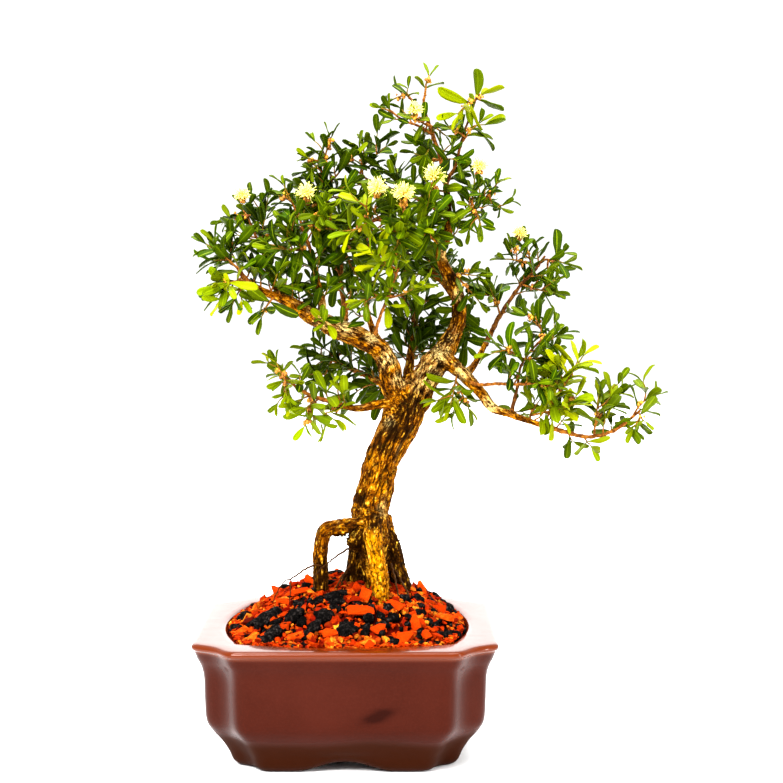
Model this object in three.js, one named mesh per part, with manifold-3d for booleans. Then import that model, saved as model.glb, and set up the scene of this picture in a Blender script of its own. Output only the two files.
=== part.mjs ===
// A harland boxwood bonsai in its glazed pot, in millimetres with +Z up.
// Places are measured from the floor under the middle of the pot: X to the right, Y to the rear.
// The finished group is then moved so that its origin is the floor under the middle of the whole spread.

import * as THREE from 'three';
import { mergeVertices } from 'three/addons/utils/BufferGeometryUtils.js';
import Module from 'manifold-3d';

const wasm = await Module();
wasm.setup();

// Driving dimensions of the pot
const potHalf = 94.5;
const potHeight = 80.2;
const potOpeningHalf = 77.5;
const footHeight = 6.2;
const recessSize = 94;
const archHalf = 31;
const floorThickness = 6;
const drainRadius = 9;
const drainSides = 16;
const screenSize = 30;
const screenThickness = 1.2;

// Heights in the soil and the tree start this far above the pot's feet
const plantBase = 2.2;

// Driving dimensions of the soil
const soilEdgeHeight = 75.5;
const moundHeight = 103;
const moundPeak = { x: 4, y: 16 };
const moundShoulder = 4;
const chipCount = 31;
const chipInset = 12.5;
const goldenAngle = 2.39996;

// Driving dimensions of the foliage
const leafLength = 19.5;
const leafWidth = 9.4;
const leafThickness = 0.8;
const shootRadius = 1.3;
const pairPlaces = [0.58, 0.97];
const pairHeight = 0.6;

// Form of a leaf, as shares of its length and width
const broadPlace = 0.62;
const leafArch = 0.04;
const tipShare = 0.24;
const leafRootHalf = 1;
const sectionCorners = [[1, -1], [-1, -1], [-1, 1], [1, 1]];

// Clearance between one piece and the next
const gap = 0.3;

// A repeatable number from 0 to 1 for each seed
function chance(seed) {
  const wave = Math.sin(seed * 12.9898 + 4.1414) * 43758.5453;
  return wave - Math.floor(wave);
}

// Solids and meshes

function solidOf(geometry) {
  const bare = geometry.index ? geometry.clone() : geometry;
  bare.deleteAttribute('normal');
  bare.deleteAttribute('uv');
  const merged = mergeVertices(bare, 1e-4);
  return new wasm.Manifold(new wasm.Mesh({
    numProp: 3,
    vertProperties: new Float32Array(merged.attributes.position.array),
    triVerts: new Uint32Array(merged.index.array),
  }));
}

function largestBody(solid) {
  const bodies = solid.decompose();
  return bodies.reduce((best, body) => (body.volume() > best.volume() ? body : best));
}

function joinAll(solids) {
  let round = solids;
  while (round.length > 1) {
    const next = [];
    for (let i = 0; i < round.length; i += 2) {
      next.push(i + 1 < round.length ? round[i].add(round[i + 1]) : round[i]);
    }
    round = next;
  }
  return round[0];
}

function meshOf(name, solid, look) {
  const cut = solid.getMesh();
  const geometry = new THREE.BufferGeometry();
  const count = cut.vertProperties.length / cut.numProp;
  const places = new Float32Array(count * 3);
  for (let i = 0; i < count; i += 1) {
    for (let k = 0; k < 3; k += 1) {
      places[3 * i + k] = cut.vertProperties[cut.numProp * i + k];
    }
  }
  geometry.setAttribute('position', new THREE.BufferAttribute(places, 3));
  geometry.setIndex(new THREE.BufferAttribute(new Uint32Array(cut.triVerts), 1));
  geometry.computeVertexNormals();
  const mesh = new THREE.Mesh(geometry, new THREE.MeshStandardMaterial(look));
  mesh.name = name;
  return mesh;
}

function boxesMeet(a, b) {
  const first = a.boundingBox();
  const second = b.boundingBox();
  return [0, 1, 2].every((k) => first.min[k] < second.max[k] && second.min[k] < first.max[k]);
}

function crosses(a, b) {
  return boxesMeet(a, b) && a.intersect(b).volume() > 1e-4;
}

// A closed skin through rings of points, each with as many points as the next
function loft(rings) {
  const sides = rings[0].length;
  const places = rings.flat().flatMap((point) => [point.x, point.y, point.z]);
  const faces = [];
  for (let ring = 0; ring < rings.length - 1; ring += 1) {
    for (let side = 0; side < sides; side += 1) {
      const a = ring * sides + side;
      const b = ring * sides + ((side + 1) % sides);
      faces.push(a, b, b + sides, a, b + sides, a + sides);
    }
  }
  const last = (rings.length - 1) * sides;
  for (let side = 1; side < sides - 1; side += 1) {
    faces.push(0, side + 1, side);
    faces.push(last, last + side, last + side + 1);
  }
  const geometry = new THREE.BufferGeometry();
  geometry.setAttribute('position', new THREE.BufferAttribute(new Float32Array(places), 3));
  geometry.setIndex(faces);
  return geometry;
}

// Pot: square with dented corners, an ogee wall, a broad flat rim and four bracket feet

const cornerCut = 25.7;
const cornerDent = 2.4;
const cornerSoftness = 3.5;

function potOutline(half, z) {
  const cut = cornerCut * (half / potHalf);
  const soft = cornerSoftness;
  const middle = half - cut / 2 - cornerDent;
  const corner = [
    [half, 0],
    [half, half - cut - soft],
    [half - 1.2, half - cut + soft * 0.6],
    [middle, middle],
    [half - cut + soft * 0.6, half - 1.2],
    [half - cut - soft, half],
  ];
  const points = [];
  for (let quarter = 0; quarter < 4; quarter += 1) {
    const turn = (quarter * Math.PI) / 2;
    for (const [x, y] of corner) {
      points.push(new THREE.Vector3(
        x * Math.cos(turn) - y * Math.sin(turn),
        x * Math.sin(turn) + y * Math.cos(turn),
        z,
      ));
    }
  }
  return points;
}

// The opening is part way from a circle to a square, so it has large round corners
const openingSquareness = 0.56;

function openingReach(half, angle) {
  const flat = Math.max(Math.abs(Math.cos(angle)), Math.abs(Math.sin(angle)));
  return half / (openingSquareness * flat + 1 - openingSquareness);
}

function openingOutline(half, z) {
  return potOutline(half, z).map((point) => {
    const angle = Math.atan2(point.y, point.x);
    const reach = openingReach(half, angle);
    return new THREE.Vector3(reach * Math.cos(angle), reach * Math.sin(angle), z);
  });
}

const potFloor = footHeight + floorThickness;

const potWall = [
  [0, 66.5],
  [3.2, 70.4],
  [10.2, 73.4],
  [17.7, 77.8],
  [24.7, 83.2],
  [31.7, 86.6],
  [58, 87.5],
  [65, 88.9],
  [70, 91.2],
  [75, 93.3],
  [77.2, potHalf],
  [potHeight - 1.3, potHalf],
  [potHeight, potHalf - 1.4],
];

const potInside = [
  [potHeight, potOpeningHalf],
  [potHeight - 4, potOpeningHalf - 1],
  [50, potOpeningHalf - 3],
  [26, potOpeningHalf - 9],
  [potFloor, potOpeningHalf - 18],
];

function makePot() {
  const rings = potWall.map(([z, half]) => potOutline(half, z));
  rings.push(...potInside.map(([z, half]) => openingOutline(half, z)));
  let pot = solidOf(loft(rings));

  const arch = new THREE.Shape();
  arch.moveTo(-archHalf, -1);
  arch.quadraticCurveTo(-archHalf + 6, 1.2, -archHalf * 0.55, 2);
  arch.quadraticCurveTo(-archHalf * 0.3, footHeight - 0.2, 0, footHeight);
  arch.quadraticCurveTo(archHalf * 0.3, footHeight - 0.2, archHalf * 0.55, 2);
  arch.quadraticCurveTo(archHalf - 6, 1.2, archHalf, -1);
  const archLength = 2.4 * potHalf;
  const under = new THREE.ExtrudeGeometry(arch, { depth: archLength, bevelEnabled: false, curveSegments: 2 });
  under.translate(0, 0, -archLength / 2).rotateX(Math.PI / 2);
  pot = pot.subtract(solidOf(under));
  pot = pot.subtract(solidOf(under.clone().rotateZ(Math.PI / 2)));

  const recess = new THREE.BoxGeometry(recessSize, recessSize, footHeight * 2);
  pot = pot.subtract(solidOf(recess));
  const drain = new THREE.CylinderGeometry(drainRadius, drainRadius, 4 * potFloor, drainSides);
  return pot.subtract(solidOf(drain.rotateX(Math.PI / 2))).translate(0, 0, -plantBase);
}

// Plastic mesh over the drain hole, lying on the pot's floor
function makeScreen() {
  const cells = 2;
  const pitch = screenSize / (cells + 0.4);
  const open = pitch * 0.64;
  const height = potFloor - plantBase + gap + screenThickness / 2;
  const sheet = new THREE.BoxGeometry(screenSize, screenSize, screenThickness);
  let plate = solidOf(sheet.translate(0, 0, height));
  for (let row = 0; row < cells; row += 1) {
    for (let column = 0; column < cells; column += 1) {
      const cell = new THREE.BoxGeometry(open, open, 4 * screenThickness);
      cell.translate((column - (cells - 1) / 2) * pitch, (row - (cells - 1) / 2) * pitch, height);
      plate = plate.subtract(solidOf(cell));
    }
  }
  return plate;
}

// Wood: each limb is a path of points [x, y, z, radius] in the pot's own axes

const wood = {
  trunk: { sides: 10, path: [
    [21, -4, 64, 15], [21, -4, 84, 17], [20, -3, 99, 16.6], [17, -1, 119, 14.8], [15, 0, 138, 13],
    [15, 0, 154, 12.4], [19, 0, 170, 12.1], [23, 0, 185, 11.5], [29, 0, 198, 11.8], [35, 0, 210, 13],
    [38, 0, 222, 14], [41, 1, 230, 12],
  ] },
  leftLimb: { sides: 7, path: [
    [35, -1, 220, 8.4], [29, -3, 233, 7.7], [26, -6, 246, 6.8], [20, -9, 256, 6.4], [9, -14, 263, 6.6],
    [-4, -19, 268, 6.5], [-18, -24, 275, 5.6], [-29, -28, 282, 4.6], [-40, -31, 288, 3.4],
    [-52, -33, 293, 2.6], [-62, -34, 300, 2.1], [-67, -34, 308, 1.7],
  ] },
  leader: { sides: 7, path: [
    [42, 0, 220, 10.2], [49, 2, 234, 9.6], [57, 4, 246, 8.6], [65, 7, 258, 6.4], [71, 9, 271, 4.9],
    [72, 9, 283, 4.5], [69, 7, 295, 4.5], [60, 0, 314, 3.6], [65, -2, 331, 3], [64, 0, 353, 2.4],
    [61, 2, 372, 2.1], [53, 3, 396, 1.6], [49, 0, 409, 1.3], [50, 0, 418, 1],
  ] },
  rightBranch: { sides: 6, path: [
    [58, 4, 253, 5.8], [67, 0, 245, 5.1], [76, -4, 237, 4.1], [86, -8, 227, 3.6], [93, -10, 218, 3.4],
    [104, -12, 214, 2.9], [122, -15, 208, 2.3], [139, -16, 203, 1.9], [154, -16, 200, 1.6],
    [170, -15, 204, 1.5], [187, -9, 216, 1.1],
  ] },
  rightRiser: { sides: 4, path: [
    [74, -4, 237, 3.2], [82, 3, 245, 2.7], [91, 12, 261, 2.2], [99, 16, 276, 1.9], [112, 20, 295, 1.5],
    [120, 20, 303, 1.3], [128, 20, 314, 1],
  ] },
  lowLeft: { sides: 4, path: [
    [33, -4, 220, 4.5], [20, -10, 220, 3.2], [6, -16, 218, 2.6], [-7, -20, 222, 2], [-20, -23, 226, 1.7],
    [-31, -25, 232, 1.3], [-39, -26, 239, 1],
  ] },
  backLeft: { sides: 4, path: [
    [31, 4, 227, 4.5], [21, 10, 233, 3.2], [9, 20, 238, 2.3], [-2, 30, 242, 1.7], [-13, 38, 247, 1.2],
  ] },
  backMiddle: { sides: 4, path: [
    [38, 8, 227, 5.2], [40, 24, 241, 3.6], [42, 38, 256, 2.6], [43, 48, 270, 1.9], [41, 54, 285, 1.3],
  ] },
  backUpper: { sides: 4, path: [
    [71, 12, 285, 3.2], [64, 30, 295, 2.6], [54, 44, 304, 2], [42, 54, 310, 1.5], [29, 60, 317, 1.1],
  ] },
  middleRiser: { sides: 4, path: [
    [22, -6, 257, 3.2], [16, 8, 268, 2.6], [12, 20, 283, 2.1], [12, 30, 299, 1.7], [14, 36, 315, 1.4],
    [12, 38, 333, 1],
  ] },
  leftRiser: { sides: 4, path: [
    [-15, -24, 273, 3.1], [-15, -24, 284, 2.9], [-17, -22, 294, 2.6], [-20, -17, 307, 2.1],
    [-23, -11, 319, 1.6], [-28, -6, 332, 1.2], [-31, -4, 342, 0.9],
  ] },
  innerRiser: { sides: 4, path: [
    [-1, -16, 268, 2.5], [-1, -9, 279, 2.2], [-4, 4, 297, 1.8], [-4, 12, 313, 1.4], [-11, 20, 341, 1.2],
    [-15, 20, 356, 1], [-14, 18, 371, 0.9],
  ] },
  outerRiser: { sides: 4, path: [
    [-39, -30, 286, 2.5], [-45, -24, 296, 2], [-50, -16, 307, 1.7], [-53, -10, 317, 1.4],
    [-58, -6, 328, 1.1], [-63, -4, 340, 0.9],
  ] },
  crownFront: { sides: 4, path: [
    [62, -2, 321, 2.9], [53, -14, 327, 2.3], [41, -24, 331, 1.8], [30, -32, 334, 1.4], [18, -38, 337, 1],
  ] },
  crownLeft: { sides: 4, path: [
    [66, -2, 336, 2.6], [57, 10, 345, 2.1], [44, 22, 352, 1.7], [31, 30, 357, 1.4], [18, 34, 361, 1.1],
    [7, 36, 369, 0.9],
  ] },
  crownRight: { sides: 4, path: [
    [66, -2, 335, 2.2], [74, -8, 341, 1.7], [82, -12, 346, 1.3], [89, -14, 352, 1],
  ] },
  frontTwig: { sides: 4, path: [
    [17, -12, 261, 1.9], [20, -18, 273, 1.4], [25, -24, 286, 1.2], [29, -28, 296, 1.1], [33, -30, 307, 0.9],
  ] },
  lowTwig: { sides: 4, path: [
    [105, -13, 216, 1.9], [108, -16, 231, 1.3], [110, -17, 244, 1.1], [116, -16, 254, 1],
    [123, -14, 261, 0.9],
  ] },
  sideTwig: { sides: 4, path: [
    [75, -3, 236, 2.2], [83, -12, 233, 1.5], [97, -20, 234, 1.3], [110, -26, 234, 1.1], [121, -30, 236, 0.9],
  ] },
  apexRight: { sides: 4, path: [
    [63, 1, 361, 1.9], [69, -2, 371, 1.3], [72, -4, 383, 1.1], [75, -5, 394, 1], [79, -5, 405, 0.9],
    [82, -5, 414, 0.8],
  ] },
  apexLeft: { sides: 4, path: [
    [54, 3, 392, 1.5], [45, 0, 397, 1.1], [36, -2, 400, 0.9], [29, -4, 405, 0.8],
  ] },
  apexTip: { sides: 4, path: [
    [48, 0, 408, 1.3], [42, 4, 413, 1], [38, 6, 418, 0.8],
  ] },
  archRoot: { sides: 6, path: [
    [16, -4, 145, 5.7], [4, -8, 146, 5.1], [-6, -12, 144, 4.5], [-13, -13, 141, 4.3], [-16, -13, 135, 4.1],
    [-17, -12, 124, 4.2], [-17, -10, 110, 4.8], [-17, -8, 88, 4.2],
  ] },
  frontRoot: { sides: 6, path: [
    [17, -7, 150, 5], [17, -13, 136, 5.8], [19, -17, 121, 5.8], [21, -19, 109, 6], [22, -21, 94, 5.8],
    [22, -22, 78, 4.6],
  ] },
  leftRoot: { sides: 6, path: [
    [11, 2, 144, 6.4], [7, 4, 128, 6.6], [5, 3, 111, 6.8], [3, 2, 84, 5.6],
  ] },
  rightRoot: { sides: 6, path: [
    [24, 4, 147, 6.4], [28, 6, 131, 7], [32, 8, 114, 7.2], [37, 8, 84, 6],
  ] },
  backRoot: { sides: 6, path: [
    [17, 10, 143, 6.5], [16, 18, 122, 7], [14, 24, 104, 7.2], [13, 28, 84, 5.6],
  ] },
};

function pathCurve(path) {
  const points = path.map(([x, y, z]) => new THREE.Vector3(x, y, z));
  return new THREE.CatmullRomCurve3(points, false, 'catmullrom', 0.5);
}

function radiusAt(path, t) {
  const place = t * (path.length - 1);
  const start = Math.min(Math.floor(place), path.length - 2);
  return THREE.MathUtils.lerp(path[start][3], path[start + 1][3], place - start);
}

// Rings across a path; extra makes the limb that much fatter and longer all round
function limb(path, sides, extra = 0) {
  const curve = pathCurve(path);
  const rings = [];
  const side = new THREE.Vector3(0, 1, 0);
  const last = path.length - 1;
  for (let ring = 0; ring <= last; ring += 1) {
    const t = ring / last;
    const centre = curve.getPoint(t);
    const along = curve.getTangent(t);
    const end = (ring === last ? 1 : 0) - (ring === 0 ? 1 : 0);
    centre.addScaledVector(along, end * extra);
    side.addScaledVector(along, -side.dot(along)).normalize();
    const across = new THREE.Vector3().crossVectors(along, side);
    const radius = radiusAt(path, t) + extra / Math.cos(Math.PI / sides);
    const points = [];
    for (let k = 0; k < sides; k += 1) {
      const angle = (k * 2 * Math.PI) / sides;
      points.push(centre.clone()
        .addScaledVector(side, radius * Math.cos(angle))
        .addScaledVector(across, radius * Math.sin(angle)));
    }
    rings.push(points);
  }
  return solidOf(loft(rings));
}

function makeTree(extra) {
  return joinAll(Object.values(wood).map(({ sides, path }) => limb(path, sides, extra)));
}

// Soil: a mound that fills the pot and falls to just under its rim, set with coarse angular chips

function moundAt(x, y) {
  const out = Math.min(1, Math.hypot(x - moundPeak.x, y - moundPeak.y) / (potOpeningHalf + 6));
  const share = Math.min(1, Math.hypot(x, y) / openingReach(potOpeningHalf, Math.atan2(y, x)));
  const fall = out + (1 - out) * share ** moundShoulder;
  return soilEdgeHeight + (moundHeight - soilEdgeHeight) * (1 - fall ** 2.1);
}

function makeMound() {
  const rings = [];
  const wallInside = [...potInside].reverse().slice(0, -1);
  for (const [z, half] of wallInside) {
    rings.push(openingOutline(half - 2 * gap, z - plantBase + gap));
  }
  const edge = potOpeningHalf - 1 - 2 * gap;
  for (const share of [0.98, 0.84, 0.6, 0.3]) {
    const ring = openingOutline(edge * share, 0);
    ring.forEach((point, i) => {
      const bump = 1.4 * (chance(i + 31 * share) - 0.5);
      point.z = moundAt(point.x, point.y) + (share < 0.95 ? bump : 0);
    });
    rings.push(ring);
  }
  return solidOf(loft(rings));
}

function makeChip(number) {
  const turn = number * goldenAngle;
  const reach = openingReach(potOpeningHalf - chipInset, turn);
  const out = reach * Math.sqrt((number + 0.6) / chipCount);
  const x = out * Math.cos(turn);
  const y = out * Math.sin(turn);
  const length = 14 + 5 * chance(number + 0.1);
  const width = length * (0.6 + 0.3 * chance(number + 0.2));
  const height = 5 + 3.5 * chance(number + 0.3);
  const chip = new THREE.BoxGeometry(length, width, height);
  const corners = chip.attributes.position;
  for (let i = 0; i < corners.count; i += 1) {
    const sign = [corners.getX(i), corners.getY(i), corners.getZ(i)].map((value) => (value > 0 ? 1 : 0));
    const corner = sign[0] + 2 * sign[1] + 4 * sign[2];
    const pull = 0.62 + 0.4 * chance(number * 8 + corner + 0.5);
    corners.setXYZ(i, corners.getX(i) * pull, corners.getY(i) * pull, corners.getZ(i) * pull);
  }
  chip.rotateX(0.5 * (chance(number + 0.6) - 0.5));
  chip.rotateY(0.5 * (chance(number + 0.7) - 0.5));
  chip.rotateZ(2 * Math.PI * chance(number + 0.8));
  chip.translate(x, y, moundAt(x, y) + 0.12 * height);
  return solidOf(chip);
}

// Foliage: each spray is a shoot with side shoots, carrying paired leaves up to its tips

const sprays = [
  { name: 'leftTip', branch: 'leftLimb', at: 0.97, tips: [[-84, -38, 320], [-71, -24, 328]] },
  { name: 'leftLow', branch: 'leftLimb', at: 0.9, tips: [[-76, -48, 296], [-64, -44, 289]] },
  { name: 'leftUnder', branch: 'leftLimb', at: 0.76, tips: [[-51, -46, 278]] },
  { name: 'outerTop', branch: 'outerRiser', at: 0.97, tips: [[-66, -2, 346], [-79, 10, 336]] },
  { name: 'outerSide', branch: 'outerRiser', at: 0.62, tips: [[-51, 10, 350], [-40, 4, 331]] },
  { name: 'leftTop', branch: 'leftRiser', at: 0.97, tips: [[-39, -6, 358], [-25, -12, 350]] },
  { name: 'leftFace', branch: 'leftRiser', at: 0.78, tips: [[-15, -22, 344], [-5, -30, 331]] },
  { name: 'leftBack', branch: 'leftRiser', at: 0.55, tips: [[-38, -32, 333], [-45, -40, 319]] },
  { name: 'innerTop', branch: 'innerRiser', at: 0.98, tips: [[-11, 18, 389], [-24, 12, 377]] },
  { name: 'innerSide', branch: 'innerRiser', at: 0.86, tips: [[0, 28, 377]] },
  { name: 'innerBack', branch: 'innerRiser', at: 0.66, tips: [[-30, 34, 357], [-33, 38, 340]] },
  { name: 'innerFace', branch: 'innerRiser', at: 0.5, tips: [[3, -4, 340], [2, -12, 323], [7, -6, 302]] },
  { name: 'middleTop', branch: 'middleRiser', at: 0.97, tips: [[20, 42, 348], [5, 50, 346]] },
  { name: 'crownLeftTip', branch: 'crownLeft', at: 0.98, tips: [[10, 38, 384], [24, 34, 385]] },
  { name: 'crownLeftBack', branch: 'crownLeft', at: 0.55, tips: [[31, 26, 371], [39, 50, 347]] },
  { name: 'frontTip', branch: 'frontTwig', at: 0.97, tips: [[17, -44, 316], [33, -36, 322]] },
  { name: 'frontLow', branch: 'frontTwig', at: 0.55, tips: [[40, -42, 294], [10, -38, 287]] },
  { name: 'crownFrontTip', branch: 'crownFront', at: 0.97, tips: [[4, -46, 329], [14, -44, 349]] },
  { name: 'crownFrontMid', branch: 'crownFront', at: 0.55, tips: [[35, -38, 346], [30, -52, 318]] },
  { name: 'crownFrontLow', branch: 'crownFront', at: 0.25, tips: [[49, -32, 345], [52, -36, 329]] },
  { name: 'leaderRight', branch: 'leader', at: 0.48, tips: [[78, -4, 305], [84, 4, 286]] },
  { name: 'leaderMid', branch: 'leader', at: 0.7, tips: [[53, -16, 357]] },
  { name: 'leaderHigh', branch: 'leader', at: 0.78, tips: [[44, 12, 380]] },
  { name: 'crownRightTip', branch: 'crownRight', at: 0.97, tips: [[94, -16, 359], [96, -12, 346]] },
  { name: 'crownRightMid', branch: 'crownRight', at: 0.5, tips: [[81, -2, 362], [84, -24, 334]] },
  { name: 'apexRightTip', branch: 'apexRight', at: 0.97, tips: [[84, -3, 415], [71, -14, 404]] },
  { name: 'apexRightMid', branch: 'apexRight', at: 0.45, tips: [[83, -12, 397], [65, -14, 395]] },
  { name: 'apexLeftTip', branch: 'apexLeft', at: 0.97, tips: [[23, -6, 407]] },
  { name: 'apexCrown', branch: 'apexTip', at: 0.97, tips: [[31, 10, 415]] },
  { name: 'leaderTip', branch: 'leader', at: 0.99, tips: [[51, 0, 424]] },
  { name: 'leaderSide', branch: 'leader', at: 0.85, tips: [[44, -14, 402], [62, -4, 391]] },
  { name: 'backMiddleTip', branch: 'backMiddle', at: 0.9, tips: [[33, 60, 295], [54, 58, 285]] },
  { name: 'backUpperTip', branch: 'backUpper', at: 0.8, tips: [[21, 68, 322], [37, 74, 332]] },
  { name: 'lowLeftTip', branch: 'lowLeft', at: 0.97, tips: [[-43, -28, 247], [-37, -36, 229]] },
  { name: 'lowLeftHang', branch: 'lowLeft', at: 0.68, tips: [[-25, -34, 210], [-9, -28, 213]] },
  { name: 'backLeftTip', branch: 'backLeft', at: 0.8, tips: [[-26, 46, 251], [-18, 42, 229], [1, 34, 256]] },
  { name: 'rightRiserTip', branch: 'rightRiser', at: 0.97, tips: [[139, 22, 310], [132, 30, 297]] },
  { name: 'rightRiserHigh', branch: 'rightRiser', at: 0.84, tips: [[116, 26, 322], [103, 14, 312]] },
  { name: 'rightRiserMid', branch: 'rightRiser', at: 0.68, tips: [[133, 18, 291]] },
  { name: 'rightRiserLow', branch: 'rightRiser', at: 0.5, tips: [[92, 6, 293]] },
  { name: 'lowTwigTip', branch: 'lowTwig', at: 0.97, tips: [[131, -12, 263], [121, -6, 275]] },
  { name: 'lowTwigMid', branch: 'lowTwig', at: 0.6, tips: [[100, -22, 257], [127, -8, 246]] },
  { name: 'sideTwigTip', branch: 'sideTwig', at: 0.9, tips: [[129, -36, 234]] },
  { name: 'brightUpper', branch: 'rightBranch', at: 0.62, tips: [[135, -20, 241], [148, -26, 251]] },
  { name: 'brightLower', branch: 'rightBranch', at: 0.57, tips: [[120, -4, 221], [143, -32, 222]] },
  { name: 'farRightUp', branch: 'rightBranch', at: 0.82, tips: [[160, -14, 225], [175, -2, 227]] },
  { name: 'farRightTip', branch: 'rightBranch', at: 0.97, tips: [[195, -8, 225], [188, -18, 211]] },
  { name: 'limbUnder', branch: 'rightBranch', at: 0.14, tips: [[66, -14, 221], [77, -8, 219]] },
];

// The sections of a leaf: at its root, at its broadest place and across its rounded tip
function leafSections({ root, along, up, length, width, droop }, extra = 0) {
  const across = new THREE.Vector3().crossVectors(along, up).normalize();
  const broad = root.clone()
    .addScaledVector(along, broadPlace * length)
    .addScaledVector(up, leafArch * length);
  const end = root.clone()
    .addScaledVector(along, length + extra)
    .addScaledVector(up, -droop * length);
  const section = (centre, reach, half) => sectionCorners.map(([a, b]) => centre.clone()
    .addScaledVector(across, a * (reach + extra))
    .addScaledVector(up, b * (half + extra)));
  return [
    section(root, leafRootHalf, pairHeight + 0.1),
    section(broad, width / 2, leafThickness / 2),
    section(end, width * tipShare, leafThickness / 2),
  ];
}

// One leaf alone, or with extra the room that it needs
function blade(shape, extra = 0) {
  return solidOf(loft(leafSections(shape, extra)));
}

// A straight square shoot whose leaves are drawn out of its side faces
function leafyShoot(shoot, leaves) {
  const places = [];
  const faces = [];
  const corner = (t, k) => {
    const angle = (k + 0.5) * (Math.PI / 2);
    const reach = shootRadius * (1 - 0.2 * t);
    places.push(shoot.start.clone().addScaledVector(shoot.stem, t * shoot.length)
      .addScaledVector(shoot.side, reach * Math.cos(angle))
      .addScaledVector(shoot.across, reach * Math.sin(angle)));
    return places.length - 1;
  };
  const half = pairHeight / shoot.length;
  const stops = [0, ...pairPlaces.flatMap((t) => [t - half, Math.min(1, t + half)])];
  const rings = stops.map((t) => [0, 1, 2, 3].map((k) => corner(t, k)));
  for (let ring = 0; ring < rings.length - 1; ring += 1) {
    for (let face = 0; face < 4; face += 1) {
      const k = (face + 3) % 4;
      const quad = [rings[ring][k], rings[ring][face], rings[ring + 1][face], rings[ring + 1][k]];
      const leaf = leaves.find((one) => one.pair * 2 + 1 === ring && one.face === face);
      if (leaf) {
        let loop = quad;
        for (const section of leafSections(leaf.shape).slice(1)) {
          const next = section.map((point) => places.push(point) - 1);
          for (let n = 0; n < 4; n += 1) {
            const m = (n + 1) % 4;
            faces.push(loop[n], loop[m], next[m], loop[n], next[m], next[n]);
          }
          loop = next;
        }
        faces.push(loop[0], loop[1], loop[2], loop[0], loop[2], loop[3]);
      } else {
        faces.push(quad[0], quad[1], quad[2], quad[0], quad[2], quad[3]);
      }
    }
  }
  const [first, last] = [rings[0], rings[rings.length - 1]];
  faces.push(first[0], first[2], first[1], first[0], first[3], first[2]);
  faces.push(last[0], last[1], last[2], last[0], last[2], last[3]);
  const geometry = new THREE.BufferGeometry();
  const flat = places.flatMap((point) => [point.x, point.y, point.z]);
  geometry.setAttribute('position', new THREE.BufferAttribute(new Float32Array(flat), 3));
  geometry.setIndex(faces);
  return solidOf(geometry);
}

// The shoots of a spray: the first from its branch, the others from part way along the first
function shootsOf(spray, number) {
  const base = pathCurve(wood[spray.branch].path).getPoint(spray.at);
  const fork = base.clone().lerp(new THREE.Vector3(...spray.tips[0]), 0.3);
  return spray.tips.map((tip, shootNumber) => {
    const start = shootNumber === 0 ? base : fork;
    const stem = new THREE.Vector3(...tip).sub(start);
    const length = stem.length();
    stem.normalize();
    const seed = 17 * number + 5 * shootNumber;
    const level = new THREE.Vector3().crossVectors(stem, new THREE.Vector3(0, 0.35, 1)).normalize();
    const turn = 0.9 * (chance(seed + 0.15) - 0.5);
    const side = level.clone().applyAxisAngle(stem, turn);
    const across = new THREE.Vector3().crossVectors(stem, side);
    return { start, stem, length, side, across, seed };
  });
}

function shootRoom({ start, stem, length }) {
  const end = start.clone().addScaledVector(stem, length);
  return limb([start, end].map(({ x, y, z }) => [x, y, z, shootRadius]), 4, gap);
}

// The leaves of a shoot: one pair part way along it, and one at its tip turned a quarter from the first
function leavesOf(shoot) {
  const leaves = [];
  pairPlaces.forEach((t, pair) => {
    const root = shoot.start.clone().addScaledVector(shoot.stem, t * shoot.length);
    for (const face of pair === 0 ? [1, 3] : [0, 2]) {
      const mark = shoot.seed + pair + 0.1 * face;
      leaves.push({
        shoot,
        pair,
        face,
        root,
        spread: (pair === 1 ? 0.75 : 1.05) + 0.25 * (chance(mark) - 0.5),
        length: leafLength * (0.84 + 0.3 * chance(mark + 0.2)),
        width: leafWidth * (0.88 + 0.24 * chance(mark + 0.3)),
        droop: 0.1 + 0.12 * chance(mark + 0.4),
      });
    }
  });
  return leaves;
}

// A leaf turned about its shoot and opened away from it by small steps
function posed(leaf, turnStep, spreadStep, scale) {
  const { stem, side, across } = leaf.shoot;
  const turn = leaf.face * (Math.PI / 2) + turnStep;
  const spread = leaf.spread + spreadStep;
  const out = side.clone().multiplyScalar(Math.cos(turn)).addScaledVector(across, Math.sin(turn));
  const along = stem.clone().multiplyScalar(Math.cos(spread)).addScaledVector(out, Math.sin(spread));
  along.normalize();
  const up = stem.clone().add(new THREE.Vector3(0, 0, 0.3));
  up.addScaledVector(along, -up.dot(along)).normalize();
  return {
    root: leaf.root,
    along,
    up,
    length: leaf.length * scale,
    width: leaf.width * (0.5 + 0.5 * scale),
    droop: leaf.droop,
  };
}

// The steps tried for a leaf that would meet something, each a turn and a spread, and then the sizes
const poses = [
  [0, 0], [0.3, 0], [-0.3, 0], [0.2, 0.3], [-0.2, -0.3], [0.55, 0.1], [-0.55, 0.1], [0.1, -0.35],
];
const leafScales = [1, 0.78, 0.6];

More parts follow.
